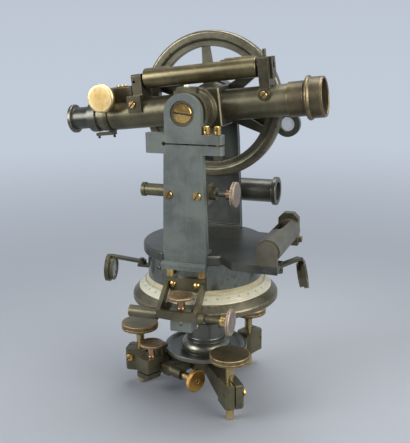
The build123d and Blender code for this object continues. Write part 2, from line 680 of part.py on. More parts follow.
def eyepiece():
    outer = DRAW_BORE_R - RUN
    profile = (
        (EYE_LENS_R, EYEPIECE_BACK + 2), (EYEPIECE_FLANGE_R - 3, EYEPIECE_BACK),
        (EYEPIECE_FLANGE_R, EYEPIECE_BACK + 0.8), (EYEPIECE_FLANGE_R, EYEPIECE_BACK + EYEPIECE_FLANGE_T),
        (EYEPIECE_R, EYEPIECE_BACK + EYEPIECE_FLANGE_T + 1), (outer, COLLAR_BACK - 4), (outer, EYEPIECE_FRONT),
        (EYE_LENS_R, EYEPIECE_FRONT),
    )
    return on_telescope(along_x(turned(*profile)))


def eye_lens():
    start = EYEPIECE_BACK + 4
    return on_telescope(along_x(disc(EYE_LENS_R, start, start + EYE_LENS_T)))


def rack_housing():
    """Cover of the rack with the round bearing of the pinion behind it."""
    width = (-HOUSING_HALF_WIDTH, HOUSING_HALF_WIDTH)
    box = slab((HOUSING_BACK, HOUSING_FRONT), width, (8, HOUSING_TOP))
    box = fillet(box.edges().filter_by(Axis.X).sort_by(Axis.Z)[-2:], HOUSING_ROUND)
    box += slab((PINION_S, HOUSING_BACK + 1), width, (8, PINION_N + PINION_BOSS_R))
    box += rod((PINION_S, width[0], PINION_N), (PINION_S, width[1], PINION_N), PINION_BOSS_R)
    box -= along_x(disc(TUBE_R, -200, 0) + disc(BAND_R, PINION_S - PINION_BOSS_R - 1, BAND_FRONT))
    box -= rod((PINION_S, -20, PINION_N), (PINION_S, 20, PINION_N), FOCUS_SHAFT_R + RUN)
    room = PINION_R + 0.6
    box -= slab((PINION_S - room, PINION_S + room), (-RACK_W / 2 - 1, RACK_W / 2 + 1), (0, PINION_N + room))
    return on_telescope(box)


def focus_knob():
    shaft = disc(FOCUS_SHAFT_R, -HOUSING_HALF_WIDTH - 1, -FOCUS_KNOB_Y)
    pinion = disc(PINION_R, -RACK_W / 2, RACK_W / 2)
    low = -FOCUS_KNOB_Y
    knob = disc(FOCUS_KNOB_R, low, low + FOCUS_KNOB_T)
    knob = fillet(knob.edges().sort_by(Axis.Z)[-1], 1.2)
    hub = disc(5.0, HOUSING_HALF_WIDTH + 1.3, low)
    return on_telescope(Pos(PINION_S, 0, PINION_N) * Rot(90, 0, 0) * (shaft + pinion + hub + knob))


def reticle_band():
    """Band round the tube's end with the guide and its two pins underneath."""
    band = along_x(disc(BAND_R, BAND_BACK, BAND_FRONT, TUBE_R))
    band -= slab((BAND_BACK - 1, BAND_FRONT + 1), (-BAND_MOUTH, BAND_MOUTH), (0, BAND_R + 1))
    back, front = GUIDE_PIN_S
    bar = slab((back - 1.5, front + 1.5), (-3, 3), (-BAND_R - GUIDE_BAR_T, -BAND_R + 0.6))
    bar -= along_x(disc(BAND_R, -200, 0))
    pins = [rod((s, 0, -BAND_R - GUIDE_BAR_T - 2.6), (s, 0, -BAND_R - 1), 1.2) for s in GUIDE_PIN_S]
    return on_telescope(band + bar + pins)


def level_brackets():
    """Two posts on the tube that hold the telescope level."""
    post_w = (-LEVEL_POST_HALF_W, LEVEL_POST_HALF_W)
    left = slab(LEFT_POST_S, post_w, (6, LEFT_POST_TOP))
    left = fillet(left.edges().filter_by(Axis.X).sort_by(Axis.Z)[-2:], 2.0)
    left += slab((LEFT_POST_S[0] - LEFT_FOOT_SPREAD, LEFT_POST_S[1]), (-TUBE_R - 1.8, -TUBE_R + 5.9), LEFT_FOOT_N)
    right = slab(RIGHT_POST_S, post_w, (8, RIGHT_POST_TOP))
    right = fillet(right.edges().filter_by(Axis.X).sort_by(Axis.Z)[-2:], 1.5)
    fork = slab((RIGHT_POST_S[1], RIGHT_POST_S[1] + FORK_T), (-6, 6), (20, RIGHT_POST_TOP))
    fork -= slab((RIGHT_POST_S[1] - 1, RIGHT_POST_S[1] + FORK_T + 1), (-1.6, 1.6), (28, RIGHT_POST_TOP + 1))
    middle = sum(RIGHT_POST_S) / 2
    boss = rod((middle, -TUBE_R - 1.2, 7), (middle, 0, 7), 5.2)
    pin = rod((middle, 0, RIGHT_POST_TOP - 1), (middle, 0, RIGHT_POST_TOP + 7), 1.6)
    right = right + fork + boss + pin
    cut = along_x(disc(TUBE_R, -200, 200))
    pivots = rod((LEVEL_ENDS[0] - 20, 0, LEVEL_N), (LEVEL_ENDS[1] + 20, 0, LEVEL_N), LEVEL_PIN_R)
    sight_at = LEFT_POST_S[0] + 2.5
    sight = rod((sight_at, -20, LEVEL_N - 2), (sight_at, -6, LEVEL_N - 2), 1.3)
    return [on_telescope(left - cut - pivots - sight), on_telescope(right - cut - pivots)]


def telescope_screws():
    """Brass screws: caps in the journals' ends, level brackets, rack housing."""
    cap = slotted(CAP_R, 0, CAP_T, 0)
    screws = [Pos(0, FRONT_FACE_Y + CAP_T, TRUNNION_Z) * Rot(0, 7, 0) * Rot(90, 0, 0) * cap,
              Pos(0, FAR_INNER_Y + STANDARD_T - CAP_T, TRUNNION_Z) * along_y(cap)]
    side = slotted(LEVEL_SCREW_R, 0, 1.6, 40)
    for s, n, face in ((LEFT_POST_S[0] + 1, sum(LEFT_FOOT_N) / 2, TUBE_R + 1.8), (sum(RIGHT_POST_S) / 2, 7.0, TUBE_R + 1.2)):
        screws.append(on_telescope(Pos(s, -face, n) * Rot(90, 0, 0) * side))
    top = slotted(HOUSING_SCREW_R, 0, 1.6, 20)
    for s in HOUSING_SCREW_S:
        screws.append(on_telescope(Pos(s, -3.4, HOUSING_TOP) * top))
    return screws


def telescope_level():
    """Level tube with a window on top and a pin at each end."""
    left, right = LEVEL_ENDS
    body = along_x(disc(LEVEL_R, left, right))
    body = chamfer(body.edges().filter_by(GeomType.CIRCLE), 0.8)
    body -= along_x(disc(LEVEL_BORE_R, left + LEVEL_END_WALL, right - LEVEL_END_WALL))
    low, high = LEVEL_WINDOW
    body -= slab((low, high), (-LEVEL_WINDOW_W / 2, LEVEL_WINDOW_W / 2), (0, LEVEL_R + 2))
    body += along_x(disc(LEVEL_PIN_R, LEVEL_PIN_TIPS[0], left + 1) + disc(LEVEL_PIN_R, right - 1, LEVEL_PIN_TIPS[1]))
    body += slab((26, 52), (-3, 3), (LEVEL_R - 1, LEVEL_R + 0.9))
    return on_telescope(Pos(0, 0, LEVEL_N) * body)


def telescope_vial():
    low, high = LEVEL_ENDS[0] + LEVEL_END_WALL + 1, LEVEL_ENDS[1] - LEVEL_END_WALL - 1
    return on_telescope(Pos(0, 0, LEVEL_N) * along_x(disc(LEVEL_BORE_R, low, high)))


def vertical_circle():
    """Spoked wheel with a stepped rim, about its own Z; the graduated side faces +Z."""
    t, step = WHEEL_HALF_T, WHEEL_STEP_HALF_T
    rim = turned(
        (WHEEL_INNER_R, -step), (WHEEL_STEP_R - 1, -step), (WHEEL_STEP_R, -t + 0.6), (WHEEL_STEP_R + 1.5, -t),
        (WHEEL_R - 2, -t), (WHEEL_R, -t + 2), (WHEEL_R, t - 1), (WHEEL_R - 1, t), (WHEEL_INNER_R, t))
    hub = disc(WHEEL_HUB_R, -t, t)
    spoke_end = WHEEL_INNER_R + 1
    outline = make_face(Polyline(
        (WHEEL_SEAT_R + 2, -SPOKE_HUB_W / 2), (spoke_end, -SPOKE_RIM_W / 2), (spoke_end, SPOKE_RIM_W / 2),
        (WHEEL_SEAT_R + 2, SPOKE_HUB_W / 2), close=True))
    spoke = Pos(0, 0, -SPOKE_HALF_T) * extrude(outline, 2 * SPOKE_HALF_T)
    wheel = rim + hub
    for index in range(SPOKE_COUNT):
        wheel += Rot(0, 0, 30 + index * 360 / SPOKE_COUNT) * spoke
    wheel -= disc(WHEEL_SEAT_R, -t - 1, t + 1)
    inner, outer = WHEEL_SCALE_R
    wheel -= disc(outer, t - WHEEL_SCALE_T, t + 1) - disc(inner, t - WHEEL_SCALE_T - 1, t + 2)
    return on_telescope(Pos(0, WHEEL_Y, 0) * along_y(wheel))


def vertical_scale():
    inner, outer = WHEEL_SCALE_R
    t = WHEEL_HALF_T
    ring = disc(outer, t - WHEEL_SCALE_T, t, inner)
    return on_telescope(Pos(0, WHEEL_Y, 0) * along_y(ring))


def on_vernier_arm(solid):
    """Puts a piece drawn along X and Z onto the tilted vernier arm."""
    return Pos(0, 0, TRUNNION_Z) * Rot(0, -VERNIER_ARM_ANGLE, 0) * solid


def vernier_arm():
    low, high = VERNIER_ARM_Y
    bar = slab((-VERNIER_ARM_REACH, VERNIER_ARM_REACH), VERNIER_ARM_Y, (-VERNIER_ARM_HALF_W, VERNIER_ARM_HALF_W))
    body = bar + along_y(disc(VERNIER_BOSS_R, low, FAR_INNER_Y))
    body -= along_y(disc(WHEEL_SEAT_R + 1, low - 1, FAR_INNER_Y + 1))
    for side in (-1, 1):
        body -= rod((side * READER_PIVOT_REACH, low - 1, 0), (side * READER_PIVOT_REACH, high + 1, 0),
                    READER_PIN_R + RUN)
    return on_vernier_arm(body)


def vertical_verniers():
    """Two arcs with the verniers, close to the wheel's graduated face."""
    inner, outer = VERNIER_PLATE_R
    front = WHEEL_Y + WHEEL_HALF_T + GAP
    ring = along_y(disc(outer, front, VERNIER_ARM_Y[0], inner))
    span = VERNIER_SPAN / 2
    wedge = slab((40, 80), (0, 60), (-span, span)) + slab((-80, -40), (0, 60), (-span, span))
    return [on_vernier_arm(piece) for piece in (ring & wedge).solids()]


def reader(side):
    """Reading lens holder of the vertical circle on one side of the arm."""
    low, high = READER_Y
    pivot = side * READER_PIVOT_REACH
    centre = side * READER_REACH
    pin = rod((pivot, VERNIER_ARM_Y[0], 0), (pivot, high - 2, 0), READER_PIN_R)
    ring = Pos(centre, 0, 0) * along_y(disc(READER_R, low, high, READER_HOLE_R))
    strap_end = side * (READER_REACH - READER_HOLE_R - 1.5)
    strap = slab(sorted((pivot, strap_end)), (low + 1, high - 1), (-READER_STRAP_HALF, READER_STRAP_HALF))
    collar = rod((pivot, VERNIER_ARM_Y[1] + GAP, 0), (pivot, high - 0.5, 0), READER_PIN_R + 2)
    return on_vernier_arm(ring + strap + collar + pin)


def reader_lens(side):
    centre = side * READER_REACH
    return on_vernier_arm(Pos(centre, 0, 0) * along_y(disc(READER_HOLE_R, READER_Y[0] + 1.5, READER_Y[1] - 1.5)))


def clamp_arm():
    """Collar on the axle's neck with a lug on top and a long arm down to the tangent screw."""
    low, high = COLLAR_CLAMP_Y
    collar = rod((0, low, TRUNNION_Z), (0, high, TRUNNION_Z), COLLAR_CLAMP_R)
    lug = slab((-LUG_HALF, LUG_HALF), COLLAR_CLAMP_Y, (TRUNNION_Z, TRUNNION_Z + LUG_TOP))
    arm = slab((-ARM_DROP_HALF_W, ARM_DROP_HALF_W), (VTANGENT_Y - 3, VTANGENT_Y + 3),
               (ARM_DROP_Z, TRUNNION_Z - 10))
    body = collar + fillet(lug.edges().filter_by(Axis.Y).sort_by(Axis.Z)[-2:], 1.5) + arm
    return body - rod((0, low - 1, TRUNNION_Z), (0, high + 1, TRUNNION_Z), AXLE_NECK_R + RUN)


def vertical_tangent_bracket():
    """Fork behind the front standard: spring barrel on the left, nut on the right."""
    wall = FRONT_FACE_Y + STANDARD_T
    depth = (wall, VTANGENT_Y + 7)
    height = (VTANGENT_Z - VBRACKET_HALF_H, VTANGENT_Z + VBRACKET_HALF_H)
    body = slab((-VBRACKET_HALF, VBRACKET_HALF), depth, height)
    body -= slab((-VBRACKET_OPEN, VBRACKET_OPEN), (wall + 3, depth[1] + 1), (height[0] - 1, height[1] + 1))
    at = (VTANGENT_Y, VTANGENT_Z)
    body += rod((VBARREL_LEFT, *at), (-VBRACKET_HALF, *at), VBARREL_R)
    body += rod((VBARREL_LEFT, *at), (VBARREL_LEFT + 3.3, *at), VBARREL_R + 0.8)
    body += rod((-VBRACKET_OPEN, *at), (-ARM_DROP_HALF_W, *at), VSCREW_R)
    body += rod((VBRACKET_HALF, *at), (VNUT_RIGHT, *at), VNUT_R)
    body -= rod((VBRACKET_OPEN - 1, *at), (VNUT_RIGHT + 1, *at), VSCREW_R + RUN)
    for x in FACE_SCREW_X:
        body -= rod((x, wall - 1, VTANGENT_Z), (x, wall + 2.5, VTANGENT_Z), PINCH_R + RUN)
    return body


def thin_knob(radius, thickness, low):
    """Flat milled knob about Z from a height upwards."""
    knob = disc(radius, low, low + thickness)
    return fillet(knob.edges(), min(0.9, thickness / 3))


def vertical_tangent_screw():
    at = Pos(0, VTANGENT_Y, VTANGENT_Z)
    low, high = VKNOB_X
    body = disc(VSCREW_R, ARM_DROP_HALF_W + GAP, low + 1) + disc(4.6, low - 5.5, low)
    body += turned((0, low), (VKNOB_R, low), (VKNOB_R, low + 2.0), (VKNOB_R - 1.2, low + 2.6),
                   (VKNOB_R, low + 3.2), (VKNOB_R, high), (0, high))
    return at * along_x(body)


def plate_level_case():
    """Near block and the level's tube, with a window on top."""
    half = PLEVEL_BLOCK_HALF_W
    block = slab((-half, half), PLEVEL_BLOCK_Y, (PLATE_TOP - PLEVEL_Z, 0))
    block += along_y(disc(half, *PLEVEL_BLOCK_Y))
    body = block + along_y(disc(PLEVEL_R, PLEVEL_BLOCK_Y[1] - 1, PLEVEL_END_Y))
    body -= along_y(disc(PLEVEL_BORE_R, PLEVEL_BLOCK_Y[1] + 3, PLEVEL_END_Y - 3))
    body -= slab((-7.5, 3.0), PLEVEL_WINDOW_Y, (1.0, PLEVEL_R + 2))
    return Pos(PLEVEL_X, 0, PLEVEL_Z) * body


def plate_level_vial():
    return Pos(PLEVEL_X, 0, PLEVEL_Z) * along_y(disc(PLEVEL_BORE_R, PLEVEL_BLOCK_Y[1] + 4, PLEVEL_END_Y - 4))


def plate_level_post():
    """Far post with cut corners, its adjusting screw on the side and its nose in the tube's end."""
    low, high = PLEVEL_POST_Y
    half = PLEVEL_POST_HALF
    post = slab((-half, half), (low, high), (-PLEVEL_POST_R, PLEVEL_POST_R))
    post = chamfer(post.edges().filter_by(Axis.Y).sort_by(Axis.Z)[-2:], 4.8)
    post = Pos(PLEVEL_X - 1, 0, PLEVEL_POST_Z) * post
    middle = (low + high) / 2
    side = PLEVEL_X - 1 + half
    post += rod((side - 1, middle, PLATE_TOP + 1.5), (side + 3.2, middle, PLATE_TOP + 1.5), 3.0)
    post -= slab((0, WING_SIDE), (0, 50), (0, PLATE_TOP))
    return post + rod((PLEVEL_X, PLEVEL_END_Y, PLEVEL_Z), (PLEVEL_X, low, PLEVEL_Z), 3.0)


def tube_compass():
    """Tube with a flanged eye end, on two saddles behind the far standard."""
    flange_start = COMPASS_HALF
    body = disc(COMPASS_R, -COMPASS_HALF, flange_start)
    for low in (-COMPASS_HALF - COMPASS_FLANGE_T, flange_start):
        body += disc(COMPASS_FLANGE_R, low, low + COMPASS_FLANGE_T)
    body = fillet(body.edges().filter_by(GeomType.CIRCLE), 0.8)
    body -= disc(COMPASS_R - 2.2, flange_start + 1, flange_start + COMPASS_FLANGE_T + 1)
    wall = FAR_INNER_Y + STANDARD_T
    centre_y = wall + COMPASS_SADDLE_T + COMPASS_R
    whole = Pos(0, centre_y, COMPASS_Z) * along_x(body)
    for x in (-13.0, 13.0):
        whole += slab((x - 4, x + 4), (wall, wall + COMPASS_SADDLE_T + 4), (COMPASS_Z - 9, COMPASS_Z + 9))
    return whole


def frame_local(solid):
    """Puts a piece drawn outwards along X at the alidade clamp's direction."""
    return Rot(0, 0, FRAME_ANGLE) * solid


def alidade_tangent_frame():
    """Bracket on the drum that reaches over the bevel round a window to a curved bar."""
    plate_r = DRUM_R + FRAME_PLATE_T
    shoe = disc(plate_r, DRUM_FOOT + GAP, FRAME_PLATE_TOP, DRUM_R)
    shoe &= slab((0, 80), (-FRAME_HALF, FRAME_HALF), (0, 200))
    low_r, high_r = FRAME_BAR_R
    bar = disc(high_r, FRAME_BOTTOM, FRAME_TOP, low_r) & slab((0, 90), (-FRAME_HALF, FRAME_HALF), (0, 200))
    clear = LIMB_R + 1.0
    side = make_face(Polyline(
        (DRUM_R + 0.6, DRUM_FOOT + GAP + 0.8), (clear, cone_z(clear) + 1.4), (clear, FRAME_BOTTOM),
        (low_r + 1.5, FRAME_BOTTOM), (low_r + 1.5, FRAME_TOP), (plate_r, FRAME_PLATE_TOP - 4),
        (DRUM_R + 0.6, FRAME_PLATE_TOP - 4), close=True))
    cheek_t = FRAME_HALF - FRAME_WINDOW_HALF
    body = shoe + bar
    for start in (-FRAME_WINDOW_HALF, FRAME_HALF):
        body += Pos(0, start, 0) * extrude(Plane.XZ * side, cheek_t)
    body -= disc(DRUM_R, DRUM_FOOT - 10, PLATE_BOTTOM)
    screw = (TANGENT_REACH, JAW_Y + JAW_HALF, TANGENT_Z), (TANGENT_REACH, FRAME_HALF + 20, TANGENT_Z)
    body += rod((TANGENT_REACH, FRAME_HALF, TANGENT_Z), (TANGENT_REACH, FRAME_HALF + 6, TANGENT_Z), 4.6)
    body -= rod(*screw, CLAMP_SCREW_R + RUN)
    left = (TANGENT_REACH, -FRAME_HALF, TANGENT_Z)
    body += rod(left, (TANGENT_REACH, -FRAME_HALF - BARREL_LENGTH, TANGENT_Z), BARREL_R)
    body += rod((TANGENT_REACH, -FRAME_WINDOW_HALF, TANGENT_Z),
                (TANGENT_REACH, JAW_Y - JAW_HALF, TANGENT_Z), CLAMP_SCREW_R)
    return frame_local(body) - bracket_screw_holes()


def circle_clamp_jaw():
    """C-shaped clamp round the circle's edge, in the frame's window."""
    width = (JAW_Y - JAW_HALF, JAW_Y + JAW_HALF)
    body = slab((JAW_INNER_R, JAW_OUTER_R), width, (JAW_BOTTOM, JAW_TOP))
    room = turned(
        (0, 60), (LIMB_FLANGE_R, LIMB_FLANGE_Z - GAP), (LIMB_UNDER_R, LIMB_UNDER_Z - GAP),
        (LIMB_R + GAP, LIMB_EDGE_BOTTOM - GAP), (LIMB_R + GAP, LIMB_EDGE_TOP + 2 * GAP),
        (DRUM_R, DRUM_FOOT + 2 * GAP), (0, DRUM_FOOT + 2 * GAP),
    )
    body -= room
    body -= Pos(TANGENT_REACH, JAW_Y, 0) * disc(CLAMP_SCREW_R + RUN, JAW_BOTTOM + 6, JAW_TOP + 1)
    return frame_local(body.solids().sort_by(SortBy.VOLUME)[-1])


def clamp_knob(radius, stem_low, knob_low, screw_low):
    """Flat-topped clamp knob on its stem, about Z."""
    return turned(
        (0, screw_low), (CLAMP_SCREW_R, screw_low), (CLAMP_SCREW_R, stem_low), (CLAMP_STEM_R, stem_low),
        (CLAMP_STEM_R, knob_low - 1), (radius - 2, knob_low), (radius, knob_low + 0.8), (radius, knob_low + 2.6),
        (radius - 1, knob_low + 3.4), (0, knob_low + 3.8),
    )


def circle_clamp_knob():
    knob = clamp_knob(CLAMP_KNOB_R, JAW_TOP, CLAMP_KNOB_Z, JAW_BOTTOM + 7)
    return frame_local(Pos(TANGENT_REACH, JAW_Y, 0) * knob)


def circle_tangent_screw():
    body = disc(CLAMP_SCREW_R, JAW_Y + JAW_HALF + GAP, TANGENT_KNOB_Y + 1)
    body += disc(4.8, TANGENT_KNOB_Y - 6.5, TANGENT_KNOB_Y)
    body += thin_knob(TANGENT_KNOB_R, TANGENT_KNOB_T, TANGENT_KNOB_Y)
    return frame_local(Pos(TANGENT_REACH, 0, TANGENT_Z) * along_y(body))


def lower_local(solid):
    """Puts a piece drawn outwards along X at the lower clamp's direction."""
    return Rot(0, 0, LOWER_ANGLE) * solid


def lower_clamp_block():
    """Block with a horizontal saw cut, whose nose grips the edge of the clamping disc."""
    low, high = LOWER_BLOCK_Z
    body = slab(LOWER_BLOCK_X, LOWER_BLOCK_Y, LOWER_BLOCK_Z)
    body = chamfer(body.edges().filter_by(Axis.Z), 1.5)
    arm_y = (LOWER_ARM_Y, LOWER_BLOCK_Y[1])
    body += slab((LOWER_ARM_X, LOWER_BLOCK_X[0] + 2), arm_y, (low + 3, high))
    body += slab((LOWER_ARM_X, LOWER_BLOCK_X[0] - 0.5), arm_y, (high - 1, LOWER_JAW_TOP))
    body -= slab((LOWER_BLOCK_X[0] + 2.5, LOWER_BLOCK_X[1] + 1), (LOWER_BLOCK_Y[0] - 1, LOWER_BLOCK_Y[1] + 1),
                 (LOWER_SLIT_Z, LOWER_SLIT_Z + BLOCK_SLIT))
    body -= disc(DISC_R + GAP, DISC_BOTTOM - GAP, DISC_TOP + GAP)
    x, y = LOWER_SCREW_AT
    body -= Pos(x, y, 0) * disc(CLAMP_SCREW_R + RUN, low - 1, high + 1)
    return lower_local(body)


def lower_clamp_knob():
    x, y = LOWER_SCREW_AT
    knob = clamp_knob(LOWER_KNOB_R, LOWER_BLOCK_Z[1], LOWER_KNOB_Z, LOWER_BLOCK_Z[0] + 0.5)
    return lower_local(Pos(x, y, 0) * knob)


def lower_tangent_bracket():
    """Nut block and barrel on a bar from the tribrach's hub."""
    x, z, half = LOWER_TANGENT_X, LOWER_TANGENT_Z, LOWER_NUT_HALF
    low, high = LOWER_NUT_Y
    body = slab((x - half, x + half), LOWER_NUT_Y, (z - half, z + half + 0.5))
    body = chamfer(body.edges().filter_by(Axis.Z), 1.0)
    bar = slab((10, x - half + 1), (high - 1.2, high + 4.8), (z - half + 1, z + half - 1))
    body += bar - disc(HUB_R, -5, HUB_TOP + 5)
    body += rod((x, high, z), (x, LOWER_BARREL_END, z), LOWER_BARREL_R)
    return lower_local(body - rod((x, low - 1, z), (x, LOWER_BARREL_END + 1, z), CLAMP_SCREW_R + RUN))


def lower_tangent_screw():
    low, high = LOWER_WHEEL_Y
    body = disc(CLAMP_SCREW_R, LOWER_BLOCK_Y[1] + GAP, low + 1) + disc(3.6, LOWER_BARREL_END + 3, low)
    body += turned((0, low), (LOWER_WHEEL_R, low), (LOWER_WHEEL_R, high - 0.8), (LOWER_WHEEL_R - 0.8, high), (0, high))
    return lower_local(Pos(LOWER_TANGENT_X, 0, LOWER_TANGENT_Z) * along_y(body))


def loupe_place(dip=LOUPE_DIP):
    """Frame of a reading lens: Z looks out from the scale, dipped towards it."""
    return Rot(0, 0, LOUPE_ANGLE) * Pos(LOUPE_REACH, 0, LOUPE_Z) * Rot(0, 90 - dip, 0)


def loupe_ring(dip=LOUPE_DIP):
    return loupe_place(dip) * (disc(LOUPE_R, 0, LOUPE_T, LOUPE_HOLE_R)
                               + disc(LOUPE_BARREL_R, -LOUPE_T, 0.5, LOUPE_HOLE_R))


def loupe_glass(dip=LOUPE_DIP):
    return loupe_place(dip) * disc(LOUPE_HOLE_R, -LOUPE_T + 1, LOUPE_T - 1.5)


def loupe_top(dip=LOUPE_DIP):
    """Point at the upper edge of a lens ring, where its arm ends."""
    return (loupe_place(dip) * Pos(-LOUPE_R + 1.2, 0, 1)).position


def arm_strip(start, end):
    """Flat strip between two points, with round ends, broad side up."""
    start, end = Vector(*start), Vector(*end)
    along = end - start
    place = Plane(origin=start, x_dir=along.normalized(), z_dir=(Vector(0, 0, 1) - along.normalized()
                  * along.normalized().Z).normalized()).location
    return place * slab((0, along.length), (-LOUPE_ARM_W / 2, LOUPE_ARM_W / 2), (-LOUPE_ARM_T / 2, LOUPE_ARM_T / 2))


PIVOT_R = 2.2
PIVOT_EYE_R = 4.2
RIGHT_PIVOT = (78.0, -21.0, 122.8)
RIGHT_PIVOT_TAIL = 5.0
LEFT_PIVOT = (-60.0, -14.5, 112.0)


def loupe_pivots():
    """Fixed pivot pins of both lens arms: under the wing, and on a lug of the drum."""
    x, y, z = RIGHT_PIVOT
    post = (x - 6, y, 0)
    right = rod((x, y, z - RIGHT_PIVOT_TAIL), (x, y, z + 3), PIVOT_R)
    right += rod((x, y, z - RIGHT_PIVOT_TAIL - 1), (x, y, z - RIGHT_PIVOT_TAIL + 2), PIVOT_EYE_R)
    right += slab((post[0] - 3, x + 3.5), (y - 3.5, y + 3.5), (z + 2.2, z + 4.2))
    right += slab((post[0] - 3, post[0] + 3), (y - 3.5, y + 3.5), (z + 3, PLATE_TOP - WING_T))
    x, y, z = LEFT_PIVOT
    lug = slab((x - 3.5, -40), (y - 4, y + 4), (z - 4.5, z - 2)) - disc(DRUM_R, 0, 200)
    left = lug + rod((x, y, z - 3), (x, y, z + 3.5), PIVOT_R)
    return [right, left]


def right_loupe():
    """Lens ring on a strip that hangs under the wing."""
    x, y, z = RIGHT_PIVOT
    tip = loupe_top()
    eye = Pos(x, y, z) * disc(PIVOT_EYE_R, -LOUPE_ARM_T / 2 - 0.4, LOUPE_ARM_T / 2 + 0.4)
    bend = (tip.X, tip.Y - 8, z - 0.5)
    body = eye + arm_strip((x, y, z), bend) + arm_strip((bend[0], bend[1] - 1, bend[2]), tuple(tip)) + loupe_ring()
    body -= loupe_place() * disc(LOUPE_HOLE_R, -LOUPE_T - 1, LOUPE_T + 1)
    return body - Pos(x, y, z) * disc(PIVOT_R + RUN, -6, 6)


def left_loupe():
    """Lens ring on a strip that rises from the drum."""
    x, y, z = LEFT_PIVOT
    tip = loupe_top(LEFT_LOUPE_DIP)
    eye = Pos(x, y, z) * disc(PIVOT_EYE_R, -LOUPE_ARM_T / 2 - 0.4, LOUPE_ARM_T / 2 + 0.4)
    body = eye + arm_strip((x, y, z), (-tip.X, -tip.Y, tip.Z)) + Rot(0, 0, 180) * loupe_ring(LEFT_LOUPE_DIP)
    body -= Rot(0, 0, 180) * loupe_place(LEFT_LOUPE_DIP) * disc(LOUPE_HOLE_R, -LOUPE_T - 1, LOUPE_T + 1)
    return body - Pos(x, y, z) * disc(PIVOT_R + RUN, -6, 6)


def write(name, shape):
    """Writes one node; a list becomes a group of separate solids."""
    if isinstance(shape, (list, tuple, ShapeList)):
        shape = Compound(children=[Part() + piece for piece in shape])
    export_step(shape, f"parts/{name}.step")


PIECES = {
    "tribrach": tribrach,
    "block_pinch_screws": block_pinch_screws,
    "circle_sleeve": circle_sleeve,
    "circle_plate": circle_plate,
    "circle_scale": circle_scale,
    "vernier_ring": vernier_ring,
    "alidade_spindle": alidade_spindle,
    "alidade_drum": alidade_drum,
    "alidade_plate": alidade_plate,
    "front_standard": front_standard,
    "far_standard": far_standard,
    "alidade_screws": alidade_screws,
    "telescope_tube": telescope_tube,
    "trunnion_axle": trunnion_axle,
    "objective_cell": objective_cell,
    "objective_lens": objective_lens,
    "draw_tube": draw_tube,
    "eyepiece": eyepiece,
    "eye_lens": eye_lens,
    "rack_housing": rack_housing,
    "focus_knob": focus_knob,
    "reticle_band": reticle_band,
    "level_brackets": level_brackets,
    "telescope_screws": telescope_screws,
    "telescope_level": telescope_level,
    "telescope_vial": telescope_vial,
    "vertical_circle": vertical_circle,
    "vertical_scale": vertical_scale,
    "vernier_arm": vernier_arm,
    "vertical_verniers": vertical_verniers,
    "clamp_arm": clamp_arm,
    "vertical_tangent_bracket": vertical_tangent_bracket,
    "vertical_tangent_screw": vertical_tangent_screw,
    "plate_level_case": plate_level_case,
    "plate_level_vial": plate_level_vial,
    "plate_level_post": plate_level_post,
    "tube_compass": tube_compass,
    "alidade_tangent_frame": alidade_tangent_frame,
    "circle_clamp_jaw": circle_clamp_jaw,
    "circle_clamp_knob": circle_clamp_knob,
    "circle_tangent_screw": circle_tangent_screw,
    "lower_clamp_block": lower_clamp_block,
    "lower_clamp_knob": lower_clamp_knob,
    "lower_tangent_bracket": lower_tangent_bracket,
    "lower_tangent_screw": lower_tangent_screw,
    "loupe_pivots": loupe_pivots,
    "right_loupe": right_loupe,
    "left_loupe": left_loupe,
}

if __name__ == "__main__":
    os.makedirs("parts", exist_ok=True)
    for piece_name, make in PIECES.items():
        write(piece_name, make())
    for index, letter in enumerate("abc"):
        write(f"foot_stem_{letter}", foot_place(index) * foot_stem())
        write(f"foot_head_{letter}", foot_place(index) * foot_head())
    for side, word in ((1, "right"), (-1, "left")):
        write(f"{word}_reader", reader(side))
        write(f"{word}_reader_lens", reader_lens(side))
    write("right_loupe_lens", loupe_glass())
    write("left_loupe_lens", Rot(0, 0, 180) * loupe_glass(LEFT_LOUPE_DIP))
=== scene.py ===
import json
import math
import bpy
import numpy as np
from mathutils import Matrix, Vector


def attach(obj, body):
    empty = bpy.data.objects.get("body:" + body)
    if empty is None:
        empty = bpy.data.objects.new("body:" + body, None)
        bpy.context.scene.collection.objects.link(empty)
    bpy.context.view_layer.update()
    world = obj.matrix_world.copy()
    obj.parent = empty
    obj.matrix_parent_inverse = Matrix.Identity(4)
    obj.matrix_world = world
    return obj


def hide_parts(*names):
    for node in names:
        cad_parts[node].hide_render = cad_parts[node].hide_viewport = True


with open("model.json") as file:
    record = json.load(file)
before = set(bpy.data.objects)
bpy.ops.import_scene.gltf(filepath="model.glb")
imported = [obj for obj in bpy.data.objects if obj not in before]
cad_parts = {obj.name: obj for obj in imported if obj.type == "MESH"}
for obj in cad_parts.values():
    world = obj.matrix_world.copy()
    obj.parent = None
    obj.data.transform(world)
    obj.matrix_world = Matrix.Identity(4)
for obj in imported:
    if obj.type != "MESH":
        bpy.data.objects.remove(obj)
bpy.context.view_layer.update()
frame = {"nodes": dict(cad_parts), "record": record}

MM = 0.001


# Shader maths

def feed(tree, place, item):
    if isinstance(item, Value):
        tree.links.new(item.socket, place)
    else:
        place.default_value = item


